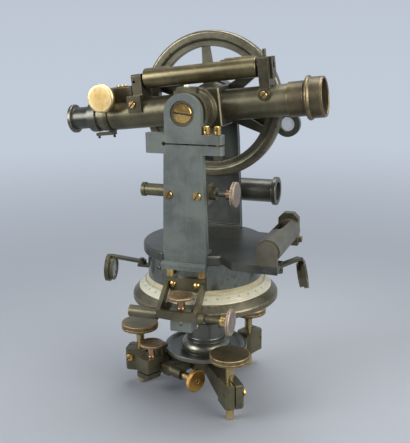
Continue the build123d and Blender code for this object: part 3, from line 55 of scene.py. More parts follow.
class Value:
    """A number, colour or vector that varies over a surface, with arithmetic."""

    def __init__(self, tree, socket):
        self.tree, self.socket = tree, socket

    def maths(self, operation, *items):
        node = self.tree.nodes.new("ShaderNodeMath")
        node.operation = operation
        for place, item in zip(node.inputs, items):
            feed(self.tree, place, item)
        return Value(self.tree, node.outputs[0])

    def __add__(self, other):
        return self.maths("ADD", self, other)

    def __sub__(self, other):
        return self.maths("SUBTRACT", self, other)

    def __rsub__(self, other):
        return self.maths("SUBTRACT", other, self)

    def __mul__(self, other):
        return self.maths("MULTIPLY", self, other)

    def __pow__(self, other):
        return self.maths("POWER", self, other)

    __radd__ = __add__

    def larger(self, other):
        return self.maths("MAXIMUM", self, other)

    def rise(self, low, high):
        """0 below low, 1 above high, smooth between."""
        node = self.tree.nodes.new("ShaderNodeMapRange")
        node.interpolation_type = "SMOOTHSTEP"
        feed(self.tree, node.inputs["Value"], self)
        node.inputs["From Min"].default_value, node.inputs["From Max"].default_value = low, high
        return Value(self.tree, node.outputs["Result"])

    def mix(self, first, second):
        """First colour where this is 0, second where it is 1."""
        node = self.tree.nodes.new("ShaderNodeMix")
        node.data_type = "RGBA"
        feed(self.tree, node.inputs["Factor"], self)
        feed(self.tree, node.inputs[6], first)
        feed(self.tree, node.inputs[7], second)
        return Value(self.tree, node.outputs[2])


class Surface:
    """One material with a Principled shader."""

    def __init__(self, name, view=(0.3, 0.3, 0.3)):
        self.material = bpy.data.materials.new(name)
        self.material.use_nodes = True
        self.material.diffuse_color = (*view[:3], 1.0)
        self.tree = self.material.node_tree
        self.shader = self.tree.nodes["Principled BSDF"]

    def node(self, kind, inputs=None, out=0, **settings):
        node = self.tree.nodes.new(kind)
        for key, value in settings.items():
            setattr(node, key, value)
        for key, value in (inputs or {}).items():
            feed(self.tree, node.inputs[key], value)
        return Value(self.tree, node.outputs[out])

    def set(self, **sockets):
        for key, value in sockets.items():
            feed(self.tree, self.shader.inputs[key.replace("_", " ")], value)
        return self

    def here(self, stretch=(1, 1, 1), turn=(0, 0, 0)):
        """Object coordinates, turned into a piece's own direction and stretched."""
        place = self.node("ShaderNodeTexCoord", out="Object")
        scale = tuple(1.0 / s for s in stretch)
        return self.node("ShaderNodeMapping", {"Vector": place, "Rotation": turn, "Scale": scale},
                         vector_type="TEXTURE")

    def noise(self, where, scale, detail=3.0, rough=0.55, warp=0.0):
        return self.node("ShaderNodeTexNoise", {"Vector": where, "Scale": scale, "Detail": detail,
                                                "Roughness": rough, "Distortion": warp}, out="Fac")

    def attribute(self, name):
        return self.node("ShaderNodeAttribute", out="Fac", attribute_name=name)

    def bump(self, height, strength, distance):
        return self.node("ShaderNodeBump", {"Height": height, "Strength": strength, "Distance": distance})


def srgb(r, g, b):
    return tuple(((v / 255 + 0.055) / 1.055) ** 2.4 if v > 10 else v / 3294 for v in (r, g, b)) + (1.0,)


def old_metal(name, base, dark, light, rough=0.4, metallic=0.85, grain=(1, 1, 1), turn=(0, 0, 0), worn_sheen=None,
              blotch=0.5, lines=0.12, uneven=1.0):
    """Patinated metal: cloudy tone, small stains, fine tool marks and dust in its roughness.
    The worn tone, partly real wear and partly a painted edge highlight, shows where the piece's own
    wear attribute is high, broken up by noise. Smooth metal is less uneven."""
    s = Surface(name, base)
    where = s.here()
    along = s.here(grain, turn)
    cloud = s.noise(where, 38.0, 4.0, 0.6, 0.4)
    stain = s.noise(where, 210.0, 5.0, 0.65)
    marks = s.noise(along, 900.0, 2.0, 0.5)
    speck = s.noise(where, 1400.0, 2.0, 0.5)
    tone = cloud.rise(0.34, 0.66)
    colour = tone.mix(dark, base)
    colour = (stain.rise(0.52, 0.72) * blotch).mix(colour, light)
    colour = (marks.rise(0.45, 0.75) * lines).mix(colour, light)
    # Outward edges turn toward the worn tone: partly real wear, partly a painted edge highlight.
    if worn_sheen:
        edge = s.attribute("wear_and_sheen") * stain.rise(0.30, 0.55)
        colour = edge.mix(colour, worn_sheen)
    spread = (cloud - 0.5) * 0.22 + (stain - 0.5) * 0.20 + (marks - 0.5) * 0.10
    roughness = rough + spread * uneven
    s.set(Base_Color=colour, Roughness=roughness.larger(0.12), Metallic=metallic)
    s.set(Normal=s.bump(marks * 0.5 + speck * 0.3 + stain * 0.5, 0.16 * uneven, 0.00012))
    return s.material


UP = (1, 1, 0.05)
LENGTHWISE = (0.05, 1, 1)
ROUND_Y = (0.08, 1, 0.08)
TILT = math.radians(6.1)    # of the telescope, eyepiece down

BRONZE, BRONZE_DARK, BRONZE_LIGHT = srgb(108, 103, 81), srgb(84, 81, 65), srgb(136, 126, 94)
BRONZE_EDGE = srgb(150, 136, 98)
GREY, GREY_DARK, GREY_LIGHT = srgb(112, 118, 112), srgb(92, 98, 94), srgb(134, 138, 126)
STEEL, STEEL_DARK, STEEL_LIGHT = srgb(108, 111, 106), srgb(102, 105, 100), srgb(116, 118, 112)
BRASS, BRASS_DARK, BRASS_LIGHT = srgb(226, 190, 116), srgb(170, 132, 76), srgb(250, 228, 168)

MATERIALS = {
    "bronze": old_metal("bronze", BRONZE, BRONZE_DARK, BRONZE_LIGHT, 0.38, 0.8, LENGTHWISE, (0, -TILT, 0),
                        BRONZE_EDGE, blotch=0.3, uneven=0.7),
    "level_bronze": old_metal("level_bronze", srgb(126, 116, 86), srgb(100, 93, 70), srgb(152, 136, 98), 0.33, 0.85,
                              LENGTHWISE, (0, -TILT, 0), BRONZE_EDGE, blotch=0.2, uneven=0.5),
    "dark_bronze": old_metal("dark_bronze", srgb(86, 80, 64), srgb(62, 58, 48), srgb(112, 102, 78), 0.38, 0.75,
                             LENGTHWISE, (0, -TILT, 0), BRONZE_EDGE, blotch=0.3, uneven=0.7),
    "hood_bronze": old_metal("hood_bronze", srgb(92, 84, 66), srgb(70, 65, 52), srgb(114, 102, 78), 0.38, 0.8,
                             LENGTHWISE, (0, -TILT, 0), srgb(148, 130, 94), blotch=0.3, uneven=0.6),
    "grey_paint": old_metal("grey_paint", GREY, GREY_DARK, GREY_LIGHT, 0.44, 0.5, UP, worn_sheen=srgb(160, 156, 134),
                            blotch=0.15, lines=0.22, uneven=0.5),
    # shaded_grey is grey_paint made darker for the far standard: painted shade.
    "shaded_grey": old_metal("shaded_grey", srgb(76, 79, 75), srgb(60, 63, 60), srgb(94, 96, 88), 0.46, 0.5, UP,
                             worn_sheen=srgb(130, 128, 108), blotch=0.15, uneven=0.5),
    "blue_steel": old_metal("blue_steel", STEEL, STEEL_DARK, STEEL_LIGHT, 0.24, 0.97, (0.2, 0.2, 1),
                            worn_sheen=srgb(176, 176, 160), blotch=0.05, lines=0.08, uneven=0.12),
    "blackened": old_metal("blackened", srgb(98, 98, 90), srgb(76, 77, 72), srgb(124, 122, 108), 0.34, 0.85,
                           LENGTHWISE, (0, -TILT, 0), srgb(144, 140, 120), blotch=0.2, uneven=0.5),
    "brass": old_metal("brass", BRASS, BRASS_DARK, BRASS_LIGHT, 0.28, 1.0, worn_sheen=BRASS_LIGHT, blotch=0.3),
    "bright_brass": old_metal("bright_brass", srgb(208, 178, 116), srgb(186, 152, 92), srgb(228, 204, 150), 0.40,
                              1.0, ROUND_Y, worn_sheen=srgb(255, 240, 196), blotch=0.3, uneven=0.6),
    "copper_brown": old_metal("copper_brown", srgb(106, 98, 76), srgb(82, 77, 62), srgb(136, 122, 90), 0.38,
                              0.8, worn_sheen=srgb(196, 166, 114), blotch=0.3, uneven=0.7),
    "red_brown": old_metal("red_brown", srgb(122, 106, 84), srgb(96, 85, 70), srgb(150, 130, 100), 0.38, 0.8,
                           worn_sheen=srgb(188, 154, 112), blotch=0.3, uneven=0.7),
    "silvered": old_metal("silvered", srgb(222, 218, 192), srgb(202, 197, 170), srgb(238, 235, 218), 0.34, 0.3,
                          (0.3, 0.3, 1), blotch=0.2, lines=0.2, uneven=0.5),
    "gold_silver": old_metal("gold_silver", srgb(220, 207, 171), srgb(198, 184, 146), srgb(236, 226, 196), 0.34,
                             0.5, (0.3, 0.3, 1), blotch=0.2, lines=0.2, uneven=0.5),
    # Lighter tones for the rounded edges: partly real wear, partly a painted edge highlight.
    "worn_sheen_bronze": old_metal("worn_sheen_bronze", srgb(128, 119, 90), srgb(98, 92, 72), srgb(160, 144, 104), 0.35, 0.85,
                             blotch=0.4, uneven=0.7),
    "worn_sheen_grey": old_metal("worn_sheen_grey", srgb(134, 137, 126), srgb(108, 112, 104), srgb(162, 158, 136), 0.38, 0.6,
                           blotch=0.35, uneven=0.7),
    "orange_brass": old_metal("orange_brass", srgb(232, 178, 92), srgb(188, 132, 66), srgb(246, 210, 130), 0.34,
                              1.0, worn_sheen=srgb(184, 146, 100), blotch=0.5),
    "stem_brass": old_metal("stem_brass", srgb(152, 134, 90), srgb(118, 106, 74), srgb(190, 170, 118), 0.28, 0.95,
                            (1, 1, 0.2), worn_sheen=BRASS_LIGHT, blotch=0.15, uneven=0.4),
    "dark_steel": old_metal("dark_steel", srgb(104, 106, 100), srgb(97, 99, 94), srgb(114, 115, 107), 0.34, 0.9,
                            (0.2, 0.2, 1), worn_sheen=srgb(150, 146, 126), blotch=0.05, lines=0.08, uneven=0.12),
    "bevel_bronze": old_metal("bevel_bronze", srgb(104, 100, 84), srgb(82, 80, 68), srgb(124, 117, 95), 0.38,
                              0.85, (0.2, 0.2, 1), worn_sheen=srgb(150, 140, 112), blotch=0.2, uneven=0.4),
    "wheel_bronze": old_metal("wheel_bronze", srgb(104, 101, 86), srgb(86, 84, 72), srgb(124, 119, 98), 0.36,
                              0.8, (0.3, 1, 0.3), worn_sheen=srgb(136, 128, 102), blotch=0.2, uneven=0.5),
    "rosy": old_metal("rosy", srgb(134, 121, 111), srgb(112, 101, 93), srgb(158, 143, 129), 0.40, 0.6,
                      worn_sheen=srgb(190, 166, 138), blotch=0.3, uneven=0.6),
    "pale_bronze": old_metal("pale_bronze", srgb(112, 107, 93), srgb(90, 86, 74), srgb(138, 130, 113), 0.40,
                             0.7, (1, 0.05, 1), worn_sheen=srgb(170, 160, 138), blotch=0.2, uneven=0.5),
    "copper": old_metal("copper", srgb(186, 148, 114), srgb(158, 122, 92), srgb(214, 182, 150), 0.30, 1.0,
                        blotch=0.15, uneven=0.4),
}


def glass(name, tint, rough=0.03, alpha=0.35):
    s = Surface(name, tint)
    smudge = s.noise(s.here(), 160.0, 3.0, 0.6)
    s.set(Base_Color=tint, Metallic=0.0, Roughness=rough + smudge * 0.06, Alpha=alpha + smudge * 0.12,
          Specular_IOR_Level=0.8, Coat_Weight=0.6, Coat_Roughness=0.02)
    return s.material


MATERIALS["lens"] = glass("lens", srgb(196, 204, 206))
# The vials are dark, dense glass so the level windows read nearly black: painted shade inside the housings.
MATERIALS["vial"] = glass("vial", srgb(60, 64, 52), alpha=0.62)


def flat_dark(name, colour, rough=0.6):
    s = Surface(name, colour)
    grain = s.noise(s.here(), 600.0, 2.0)
    s.set(Base_Color=grain.rise(0.3, 0.7).mix(colour, tuple(c * 1.6 for c in colour[:3]) + (1.0,)),
          Roughness=rough + (grain - 0.5) * 0.2, Metallic=0.2)
    return s.material


MATERIALS["bubble"] = glass("bubble", srgb(190, 196, 180), 0.05, 0.4)
# Dark fill for the engraved lines and numbers; the same colour fills the driver slots as painted shade.
MATERIALS["engraving_and_slot_shade"] = flat_dark("engraving_and_slot_shade", srgb(38, 34, 28))


# Mesh helpers

def finish_piece(name, points, faces, body, material, wear_and_sheen=None):
    """Object from numpy points and quads or triangles, smooth, riding on a CAD body."""
    mesh = bpy.data.meshes.new(name)
    mesh.from_pydata(points.tolist(), [], faces.tolist())
    mesh.polygons.foreach_set("use_smooth", np.ones(len(mesh.polygons), bool))
    if wear_and_sheen is not None:
        mesh.attributes.new("wear_and_sheen", "FLOAT", "POINT").data.foreach_set("value", wear_and_sheen.astype(np.float32))
    mesh.update()
    piece = bpy.data.objects.new(name, mesh)
    bpy.context.scene.collection.objects.link(piece)
    mesh.materials.append(MATERIALS[material])
    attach(piece, body)
    return piece


def weigh(piece):
    modifier = piece.modifiers.new("normals", "WEIGHTED_NORMAL")
    modifier.keep_sharp = False
    modifier.weight = 80
    return piece


def rounded(profile, radius):
    """Closed profile with every corner replaced by a short curve: a quadratic through the corner's two
    neighbours at the given distance, except on the axis. Returns its points and how much worn tone each
    gets, 1 on outward corners: partly real wear, partly a painted edge highlight."""
    corners = np.array(profile, float)
    before, after = np.roll(corners, 1, 0), np.roll(corners, -1, 0)
    area = np.sum(corners[:, 0] * after[:, 1] - after[:, 0] * corners[:, 1])
    points, wear_and_sheen = [], []
    for a, p, b in zip(before, corners, after):
        if p[0] == 0:
            points.append(p)
            wear_and_sheen.append(0.0)
            continue
        back, on = a - p, b - p
        turn = (p[0] - a[0]) * (b[1] - p[1]) - (p[1] - a[1]) * (b[0] - p[0])
        start = p + back / np.linalg.norm(back) * min(radius, 0.42 * np.linalg.norm(back))
        end = p + on / np.linalg.norm(on) * min(radius, 0.42 * np.linalg.norm(on))
        outward = 1.0 if turn * area > 0 else 0.0
        for t, w in ((0.0, 0.25), (0.33, 1.0), (0.67, 1.0), (1.0, 0.25)):
            points.append((1 - t) ** 2 * start + 2 * t * (1 - t) * p + t ** 2 * end)
            wear_and_sheen.append(w * outward)
    return np.array(points), np.array(wear_and_sheen)


def placed(points, place):
    matrix = np.array(place)
    return points @ matrix[:3, :3].T + matrix[:3, 3]


def lathe(name, profile, place, body, material, nodes=(), count=160, soften=0.35, mill=None):
    """Closed profile of (radius, height) in millimetres turned about Z, then put in place. Where mill is
    (radius, teeth, depth), points beyond that radius move in and out with a cosine of the angle."""
    line, wear_and_sheen = rounded(profile, soften)
    if mill:
        count = mill[1] * 6
    angle = np.arange(count) * 2 * np.pi / count
    radius = np.repeat(line[:, :1], count, 1)
    if mill:
        teeth = 0.5 - 0.5 * np.cos(angle * mill[1])
        radius = np.where(radius > mill[0], radius - mill[2] * teeth, radius)
    height = np.repeat(line[:, 1:], count, 1)
    points = np.stack([radius * np.cos(angle), radius * np.sin(angle), height], 2).reshape(-1, 3) * MM
    rows = len(line)
    i, j = np.meshgrid(np.arange(rows), np.arange(count), indexing="ij")
    up, on = (i + 1) % rows, (j + 1) % count
    faces = np.stack([i * count + j, i * count + on, up * count + on, up * count + j], 2)
    faces = faces[line[:, 0] + np.roll(line[:, 0], -1) > 0].reshape(-1, 4)
    area = np.sum(line[:, 0] * np.roll(line[:, 1], -1) - np.roll(line[:, 0], -1) * line[:, 1])
    if area < 0:
        faces = faces[:, ::-1]
    piece = finish_piece(name, placed(points, place), faces, body, material,
                         np.repeat(wear_and_sheen, count))
    if nodes:
        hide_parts(*nodes)
    piece.modifiers.new("pole", "WELD").merge_threshold = 0.0000005
    return weigh(piece)


TRUNNION_Z = 261.4
WHEEL_Y = 25.4
FOOT_FIRST, FOOT_REACH = 188.2, 67.9
CLAMP_ANGLE, LOWER_ANGLE = -89.2, -116
TRUNNION = Matrix.Translation((0, 0, TRUNNION_Z * MM))
ON_TELESCOPE = TRUNNION @ Matrix.Rotation(-TILT, 4, "Y")
TO_X = Matrix.Rotation(math.pi / 2, 4, "Y")
TO_Y = Matrix.Rotation(-math.pi / 2, 4, "X")
TO_MINUS_Y = Matrix.Rotation(math.pi / 2, 4, "X")


def at(x, y, z):
    return Matrix.Translation((x * MM, y * MM, z * MM))


def about_z(degrees):
    return Matrix.Rotation(math.radians(degrees), 4, "Z")


# The CAD nodes, with softened edges and their own finish

SLOTS = {row["node"]: row["material_slot"] for row in frame["record"]["subparts"]}
# Second material for the rounded edges: a lighter tone, partly real wear and partly a painted highlight.
EDGE_WEAR_AND_SHEEN = {"bronze": "worn_sheen_bronze", "grey_paint": "worn_sheen_grey", "blue_steel": "worn_sheen_grey",
        "blackened": "worn_sheen_bronze", "copper_brown": "worn_sheen_bronze"}
# The far standard takes shaded_grey, the grey paint darkened: painted shade.
OWN_FINISH = {"rack_housing": "dark_bronze", "reticle_band": "dark_bronze", "far_standard": "shaded_grey",
              "plate_level_case": "pale_bronze", "circle_clamp_jaw": "grey_paint",
              "telescope_level": "level_bronze", "level_brackets": "dark_bronze",
              "right_loupe": "bronze", "left_loupe": "bronze"}


def soften(node, width=0.3):
    """Welds the imported corners, joins flat facets and rounds the sharp edges."""
    obj = frame["nodes"][node]
    weld = obj.modifiers.new("weld", "WELD")
    weld.merge_threshold = 0.000002
    flat = obj.modifiers.new("flat", "DECIMATE")
    flat.decimate_type = "DISSOLVE"
    flat.angle_limit = math.radians(0.6)
    edge = obj.modifiers.new("edge", "BEVEL")
    edge.width = width * MM
    edge.segments = 2
    edge.limit_method = "ANGLE"
    edge.angle_limit = math.radians(32)
    # The bevel faces take the second, lighter material: partly real wear, partly a painted highlight.
    if len(obj.data.materials) > 1:
        edge.material = 1
    return weigh(obj)


for node, obj in frame["nodes"].items():
    finish = SLOTS[node]
    obj.data.materials.clear()
    obj.data.materials.append(MATERIALS[OWN_FINISH.get(node, finish)])
    # The rounded edges get a lighter second material: partly real wear, partly a painted highlight.
    if finish in EDGE_WEAR_AND_SHEEN:
        obj.data.materials.append(MATERIALS[EDGE_WEAR_AND_SHEEN[finish]])
    obj.data.polygons.foreach_set("use_smooth", np.ones(len(obj.data.polygons), bool))
    if finish not in ("lens", "vial"):
        soften(node)


# Turned pieces that stand for round CAD nodes

def cone_z(radius):
    """Height of the circle's bevel at a radius, in millimetres."""
    return 102.9 - (radius - 54.7) * 16.9 / 15.3


def feet():
    """Foot screws: turned stems, rounded bright points, broad double discs with milled rims."""
    tip = [(0, -20), (1.8, -19.7), (3, -18.7), (3.7, -16.8), (3.7, -7), (4, -6.5), (0, -6.5)]
    stem = [(0, -6.6), (4, -6.6), (4, 34.9), (0, 34.9)]
    disc = [(0, 34.7), (7, 34.7), (9, 37.3), (16.4, 39.4), (18.4, 40.2), (18.4, 42.4), (17.2, 42.8), (18.4, 43.2),
            (18.4, 46), (17.9, 46.4), (0, 46.8)]
    for index, letter in enumerate("abc"):
        place = about_z(FOOT_FIRST + 120 * index) @ at(FOOT_REACH, 0, 0)
        lathe(f"stem_{letter}", stem, place, f"level_stem_{letter}", "stem_brass", [f"foot_stem_{letter}"],
              64)
        lathe(f"tip_{letter}", tip, place, f"level_stem_{letter}", "bright_brass",
              [f"foot_stem_{letter}"], 64)
        lathe(f"head_{letter}", disc, place, f"level_head_{letter}", "copper_brown",
              [f"foot_head_{letter}"], mill=(17.6, 110, 0.14))


def circle():
    """Sleeve with its dish and ball, circle with the stepped bevel, silver and golden bands, drum."""
    arc = [(17.4 + 7 * math.cos(t), 28.5 + 7 * math.sin(t)) for t in np.linspace(-0.6, 1.34, 11)]
    sleeve = [(12.2, 22.5), (30.5, 22.5), (40.5, 24.5), (40.5, 28.5), (38, 28.5), (34.5, 26.1), (24.6, 24.5)]
    sleeve += arc + [(19, 35.9), (19, 38.7), (19.3, 39.1), (19, 39.5), (19, 56.2), (20.2, 57), (20.2, 58),
                     (12.2, 58)]
    lathe("sleeve", sleeve, at(0, 0, 0), "circle", "dark_steel", ["circle_sleeve"], soften=0.4)
    plate = [(12.2, 58), (26, 58), (66, 79.5), (69.4, 80.8), (70, 81.5), (70, 85.4), (69.4, 86.4),
             (64.6, cone_z(64.6)), (64.2, cone_z(64.2) - 0.5), (63.8, cone_z(63.8)), (61.7, cone_z(61.7)),
             (61.5, cone_z(61.5) - 0.5), (57.6, cone_z(57.6) - 0.5), (57.6, 90), (47, 83), (24, 68), (12.2, 66)]
    lathe("circle_body", plate, at(0, 0, 0), "circle", "bevel_bronze", ["circle_plate"], count=256)
    band = [(57.62, cone_z(57.62)), (57.62, cone_z(57.62) - 1.1), (61.46, cone_z(61.46) - 1.1),
            (61.46, cone_z(61.46))]
    lathe("silver_band", band, at(0, 0, 0), "circle", "silvered", ["circle_scale"], 256, 0.1)
    edge = [(61.56, cone_z(61.56) - 0.55), (61.56, cone_z(61.56) + 0.02), (63.85, cone_z(63.85) + 0.02),
            (63.85, cone_z(63.85) - 0.55)]
    lathe("silver_edge", edge, at(0, 0, 0), "circle", "silvered", ["circle_plate"], 256, 0.1)
    ring = [(51, 98.3), (57.3, 98.3), (57.3, cone_z(57.3)), (54.72, 102.88), (51, 102.88)]
    lathe("golden_band", ring, at(0, 0, 0), "alidade", "gold_silver", ["vernier_ring"], 256, 0.12)
    drum = [(13, 104), (50.7, 104), (50.7, 102.9), (54.7, 102.9), (54.7, 127), (50.7, 127), (50.7, 108), (13, 108)]
    lathe("drum", drum, at(0, 0, 0), "alidade", "blue_steel", ["alidade_drum"], 256, 0.3)


def wheel():
    """Vertical circle: stepped rim and hub turned, six tapered spokes, silver ring on the far face."""
    place = ON_TELESCOPE @ at(0, WHEEL_Y, 0) @ TO_Y
    rim = [(54, -3.4), (58.6, -3.4), (59.4, -3.5), (60.2, -4.3), (61.4, -4.9), (66.4, -4.9), (67.8, -4.2),
           (68.5, -2.9), (68.5, 3.9), (67.5, 4.9), (67.1, 4.9), (67.0, 4.1), (61.5, 4.1), (61.4, 4.9), (54, 4.9)]
    lathe("rim", rim, place, "telescope", "wheel_bronze", ["vertical_circle"], 256, 0.5)
    hub = [(14, -4.9), (20.2, -4.9), (21, -4.2), (21, 4.2), (20.2, 4.9), (14, 4.9)]
    lathe("hub", hub, place, "telescope", "wheel_bronze", ["vertical_circle"], 128)
    ring = [(61.55, 4.1), (66.95, 4.1), (66.95, 4.88), (61.55, 4.88)]
    lathe("vertical_silver", ring, place, "telescope", "silvered", ["vertical_scale"], 256, 0.1)
    base = np.array([(19, -6.2), (55, -3.5), (55, 3.5), (19, 6.2)])
    points, faces = [], []
    for index in range(6):
        turn = math.radians(30 + 60 * index)
        spin = np.array([[math.cos(turn), math.sin(turn)], [-math.sin(turn), math.cos(turn)]])
        flat = base @ spin
        for z in (-2.6, 2.6):
            points += [(x, y, z) for x, y in flat]
        k = 8 * index
        faces += [[k + 3, k + 2, k + 1, k], [k + 4, k + 5, k + 6, k + 7]]
        faces += [[k + i, k + (i + 1) % 4, k + 4 + (i + 1) % 4, k + 4 + i] for i in range(4)]
    spokes = finish_piece("spokes", placed(np.array(points, float) * MM, place), np.array(faces), "telescope",
                          "wheel_bronze")
    edge = spokes.modifiers.new("edge", "BEVEL")
    edge.width, edge.segments, edge.limit_method, edge.angle_limit = 0.0006, 3, "ANGLE", 0.6
    edge.harden_normals = True
    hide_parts("vertical_circle")


def optics():
    """Objective cell with its bead and hood, and the eyepiece with its dark cap."""
    place = ON_TELESCOPE @ TO_X
    cell = [(12.5, 81.5), (15.3, 81.5), (15.5, 81.8), (15.5, 95.6), (16.2, 96.6), (17.4, 97.2), (18.6, 97.6),
            (19.4, 98.4), (19.6, 99.4), (19.4, 100.4), (18.6, 101.3), (17.9, 102), (17.9, 111.6), (17.5, 113),
            (16.1, 113), (15.7, 112.4), (15.7, 101), (14.6, 101), (14.6, 97), (12.5, 97)]
    lathe("hood", cell, place, "telescope", "hood_bronze", ["objective_cell"], 192, 0.3)
    eye = [(7, -134), (9.5, -135.7), (10.7, -136), (13.2, -135.8), (13.7, -135.2), (13.7, -132.6), (13.2, -132.2),
           (10.8, -131.8), (10.5, -131.4), (10.5, -118.2), (10.55, -96), (7, -96)]
    lathe("ocular", eye, place, "eyepiece", "blackened", ["eyepiece"], 160, 0.3)


def knob(name, outline, place, body, material, node, mill=None):
    return lathe(name, outline, place, body, material, [node], 128, 0.3, mill)


def knobs():
    """Clamp knobs on copper stems, thin milled tangent knobs and the polished focus knob."""
    def flat_top(radius, low):
        return [(0, low - 0.9), (3.9, low - 0.9), (radius - 2, low), (radius, low + 0.8), (radius, low + 2.6),
                (radius - 1, low + 3.4), (radius - 3.6, low + 3.55), (radius - 4.0, low + 3.45), (2.6, low + 3.7),
                (2.2, low + 3.6), (0, low + 3.75)]

    def stem(low, high, bottom):
        return [(0, bottom), (2.5, bottom), (2.5, low), (4, low), (4, low + 1.4), (3.5, low + 1.8),
                (3.5, high - 1.6), (4, high - 1.0), (0, high - 0.9)]
    place = about_z(CLAMP_ANGLE) @ at(75, 3.3, 0)
    knob("clamp_disc", flat_top(11.4, 102.4), place, "circle_clamp", "red_brown",
         "circle_clamp_knob", (10.7, 84, 0.16))
    knob("clamp_stem", stem(93, 102.4, 79), place, "circle_clamp", "copper", "circle_clamp_knob")
    place = about_z(LOWER_ANGLE) @ at(47.3, -28.1, 0)
    knob("lower_disc", flat_top(11.9, 32), place, "lower_clamp", "red_brown",
         "lower_clamp_knob", (11.2, 84, 0.16))
    knob("lower_stem", stem(20, 32, -0.5), place, "lower_clamp", "copper", "lower_clamp_knob")
    place = about_z(CLAMP_ANGLE) @ at(75, 0, 85.8) @ TO_Y
    face = [(0, 46.5), (11.2, 46.5), (12, 47.3), (12, 49.3), (11.2, 50.1), (9.6, 50.1), (9.3, 49.9), (3, 49.9),
            (2.6, 50.1), (0, 50.1)]
    knob("tangent_disc", face, place, "circle_tangent", "rosy", "circle_tangent_screw",
         (11.6, 100, 0.14))
    shaft = [(0, 13.6), (2.5, 13.6), (2.5, 40.1), (0, 40.1)]
    knob("tangent_shaft", shaft, place, "circle_tangent", "worn_sheen_bronze", "circle_tangent_screw")
    hub = [(0, 40), (4.8, 40), (4.8, 44), (4.2, 44.6), (4.8, 45.2), (4.8, 46.6), (0, 46.6)]
    knob("tangent_hub", hub, place, "circle_tangent", "brass", "circle_tangent_screw")
    place = at(0, -38, 190.2) @ TO_X
    face = [(0, 40.5), (11.4, 40.5), (11.4, 41.7), (10.4, 42.1), (11.4, 42.5), (11.4, 43.8), (10.9, 44.2), (0, 44.2)]
    knob("vertical_disc", face, place, "vertical_tangent", "rosy", "vertical_tangent_screw",
         (11.0, 96, 0.12))
    shaft = [(0, 4.8), (2.6, 4.8), (2.6, 35.1), (0, 35.1)]
    knob("vertical_shaft", shaft, place, "vertical_tangent", "blackened", "vertical_tangent_screw")
    hub = [(0, 35), (4.6, 35), (4.6, 40.6), (0, 40.6)]
    knob("vertical_hub", hub, place, "vertical_tangent", "copper", "vertical_tangent_screw")
    place = about_z(LOWER_ANGLE) @ at(38.4, 0, 9.5) @ TO_Y
    face = [(0, 22.5), (10.4, 22.5), (11, 23.1), (11, 26.2), (10.2, 27), (2.9, 26.8), (2.7, 26.4), (1.7, 26.4),
            (1.5, 26.9), (0, 26.95)]
    knob("lower_tangent_disc", face, place, "lower_tangent", "orange_brass",
         "lower_tangent_screw", (10.7, 96, 0.12))
    dot = [(0, 26.5), (1.8, 26.5), (1.8, 27.1), (1.3, 27.3), (0, 27.3)]
    knob("lower_tangent_dot", dot, place, "lower_tangent", "dark_steel", "lower_tangent_screw")
    shaft = [(0, -22.2), (2.5, -22.2), (2.5, 9.5), (3.6, 9.5), (3.6, 22.6), (0, 22.6)]
    knob("lower_tangent_shaft", shaft, place, "lower_tangent", "brass", "lower_tangent_screw")
    place = ON_TELESCOPE @ at(-90.5, 0, 17.9) @ TO_MINUS_Y
    face = [(0, 21.5), (13, 21.5), (13.4, 22), (13.4, 24.9), (12.6, 25.9), (11.2, 26), (0, 26)]
    knob("focus_face", face, place, "focus", "bright_brass", "focus_knob", (13.15, 120, 0.1))
    shaft = [(0, -9), (3, -9), (3, -2), (3.8, -2), (3.8, 2), (3, 2), (3, 9.3), (5, 9.3), (5, 21.6), (0, 21.6)]
    knob("focus_shaft", shaft, place, "focus", "brass", "focus_knob")


feet()
circle()
wheel()
optics()
knobs()


# Graduations, numbers and added screws

VERNIER_CENTRES = (11.1, 191.1)
VERNIER_STEP = 29 / 60
BOX_FACES = [(0, 1, 3, 2), (4, 6, 7, 5), (0, 4, 5, 1), (2, 3, 7, 6), (0, 2, 6, 4), (1, 5, 7, 3)]


def strokes(name, rows, width, height_at, place, body):
    """Raised engraving lines: for each (angle, inner, outer) a thin quad on the surface whose local height
    is height_at(radius)."""
    rows = np.array(rows, float)
    angle = np.radians(rows[:, 0])
    along = np.stack([np.cos(angle), np.sin(angle)], 1)
    across = np.stack([-np.sin(angle), np.cos(angle)], 1) * width / 2
    corners = []
    for radius, side in ((rows[:, 1], -1), (rows[:, 2], -1), (rows[:, 2], 1), (rows[:, 1], 1)):
        flat = along * radius[:, None] + across * side
        corners.append(np.concatenate([flat, height_at(radius)[:, None]], 1))
    points = np.stack(corners, 1).reshape(-1, 3) * MM
    faces = np.arange(len(points)).reshape(-1, 4)
    return finish_piece(name, placed(points, place), faces, body, "engraving_and_slot_shade")


def glyph(text, size):
    """Triangles of a number in its own plane, in millimetres, centred."""
    curve = bpy.data.curves.new("number", "FONT")
    curve.body, curve.size, curve.align_x, curve.align_y = text, size, "CENTER", "CENTER"
    curve.resolution_u = 3
    holder = bpy.data.objects.new("number", curve)
    bpy.context.scene.collection.objects.link(holder)
    bpy.context.view_layer.update()
    mesh = bpy.data.meshes.new_from_object(holder.evaluated_get(bpy.context.evaluated_depsgraph_get()))
    points = np.zeros(len(mesh.vertices) * 3)
    mesh.vertices.foreach_get("co", points)
    mesh.calc_loop_triangles()
    triangles = np.zeros(len(mesh.loop_triangles) * 3, int)
    mesh.loop_triangles.foreach_get("vertices", triangles)
    bpy.data.objects.remove(holder)
    bpy.data.curves.remove(curve)
    bpy.data.meshes.remove(mesh)
    return points.reshape(-1, 3)[:, :2], triangles.reshape(-1, 3)


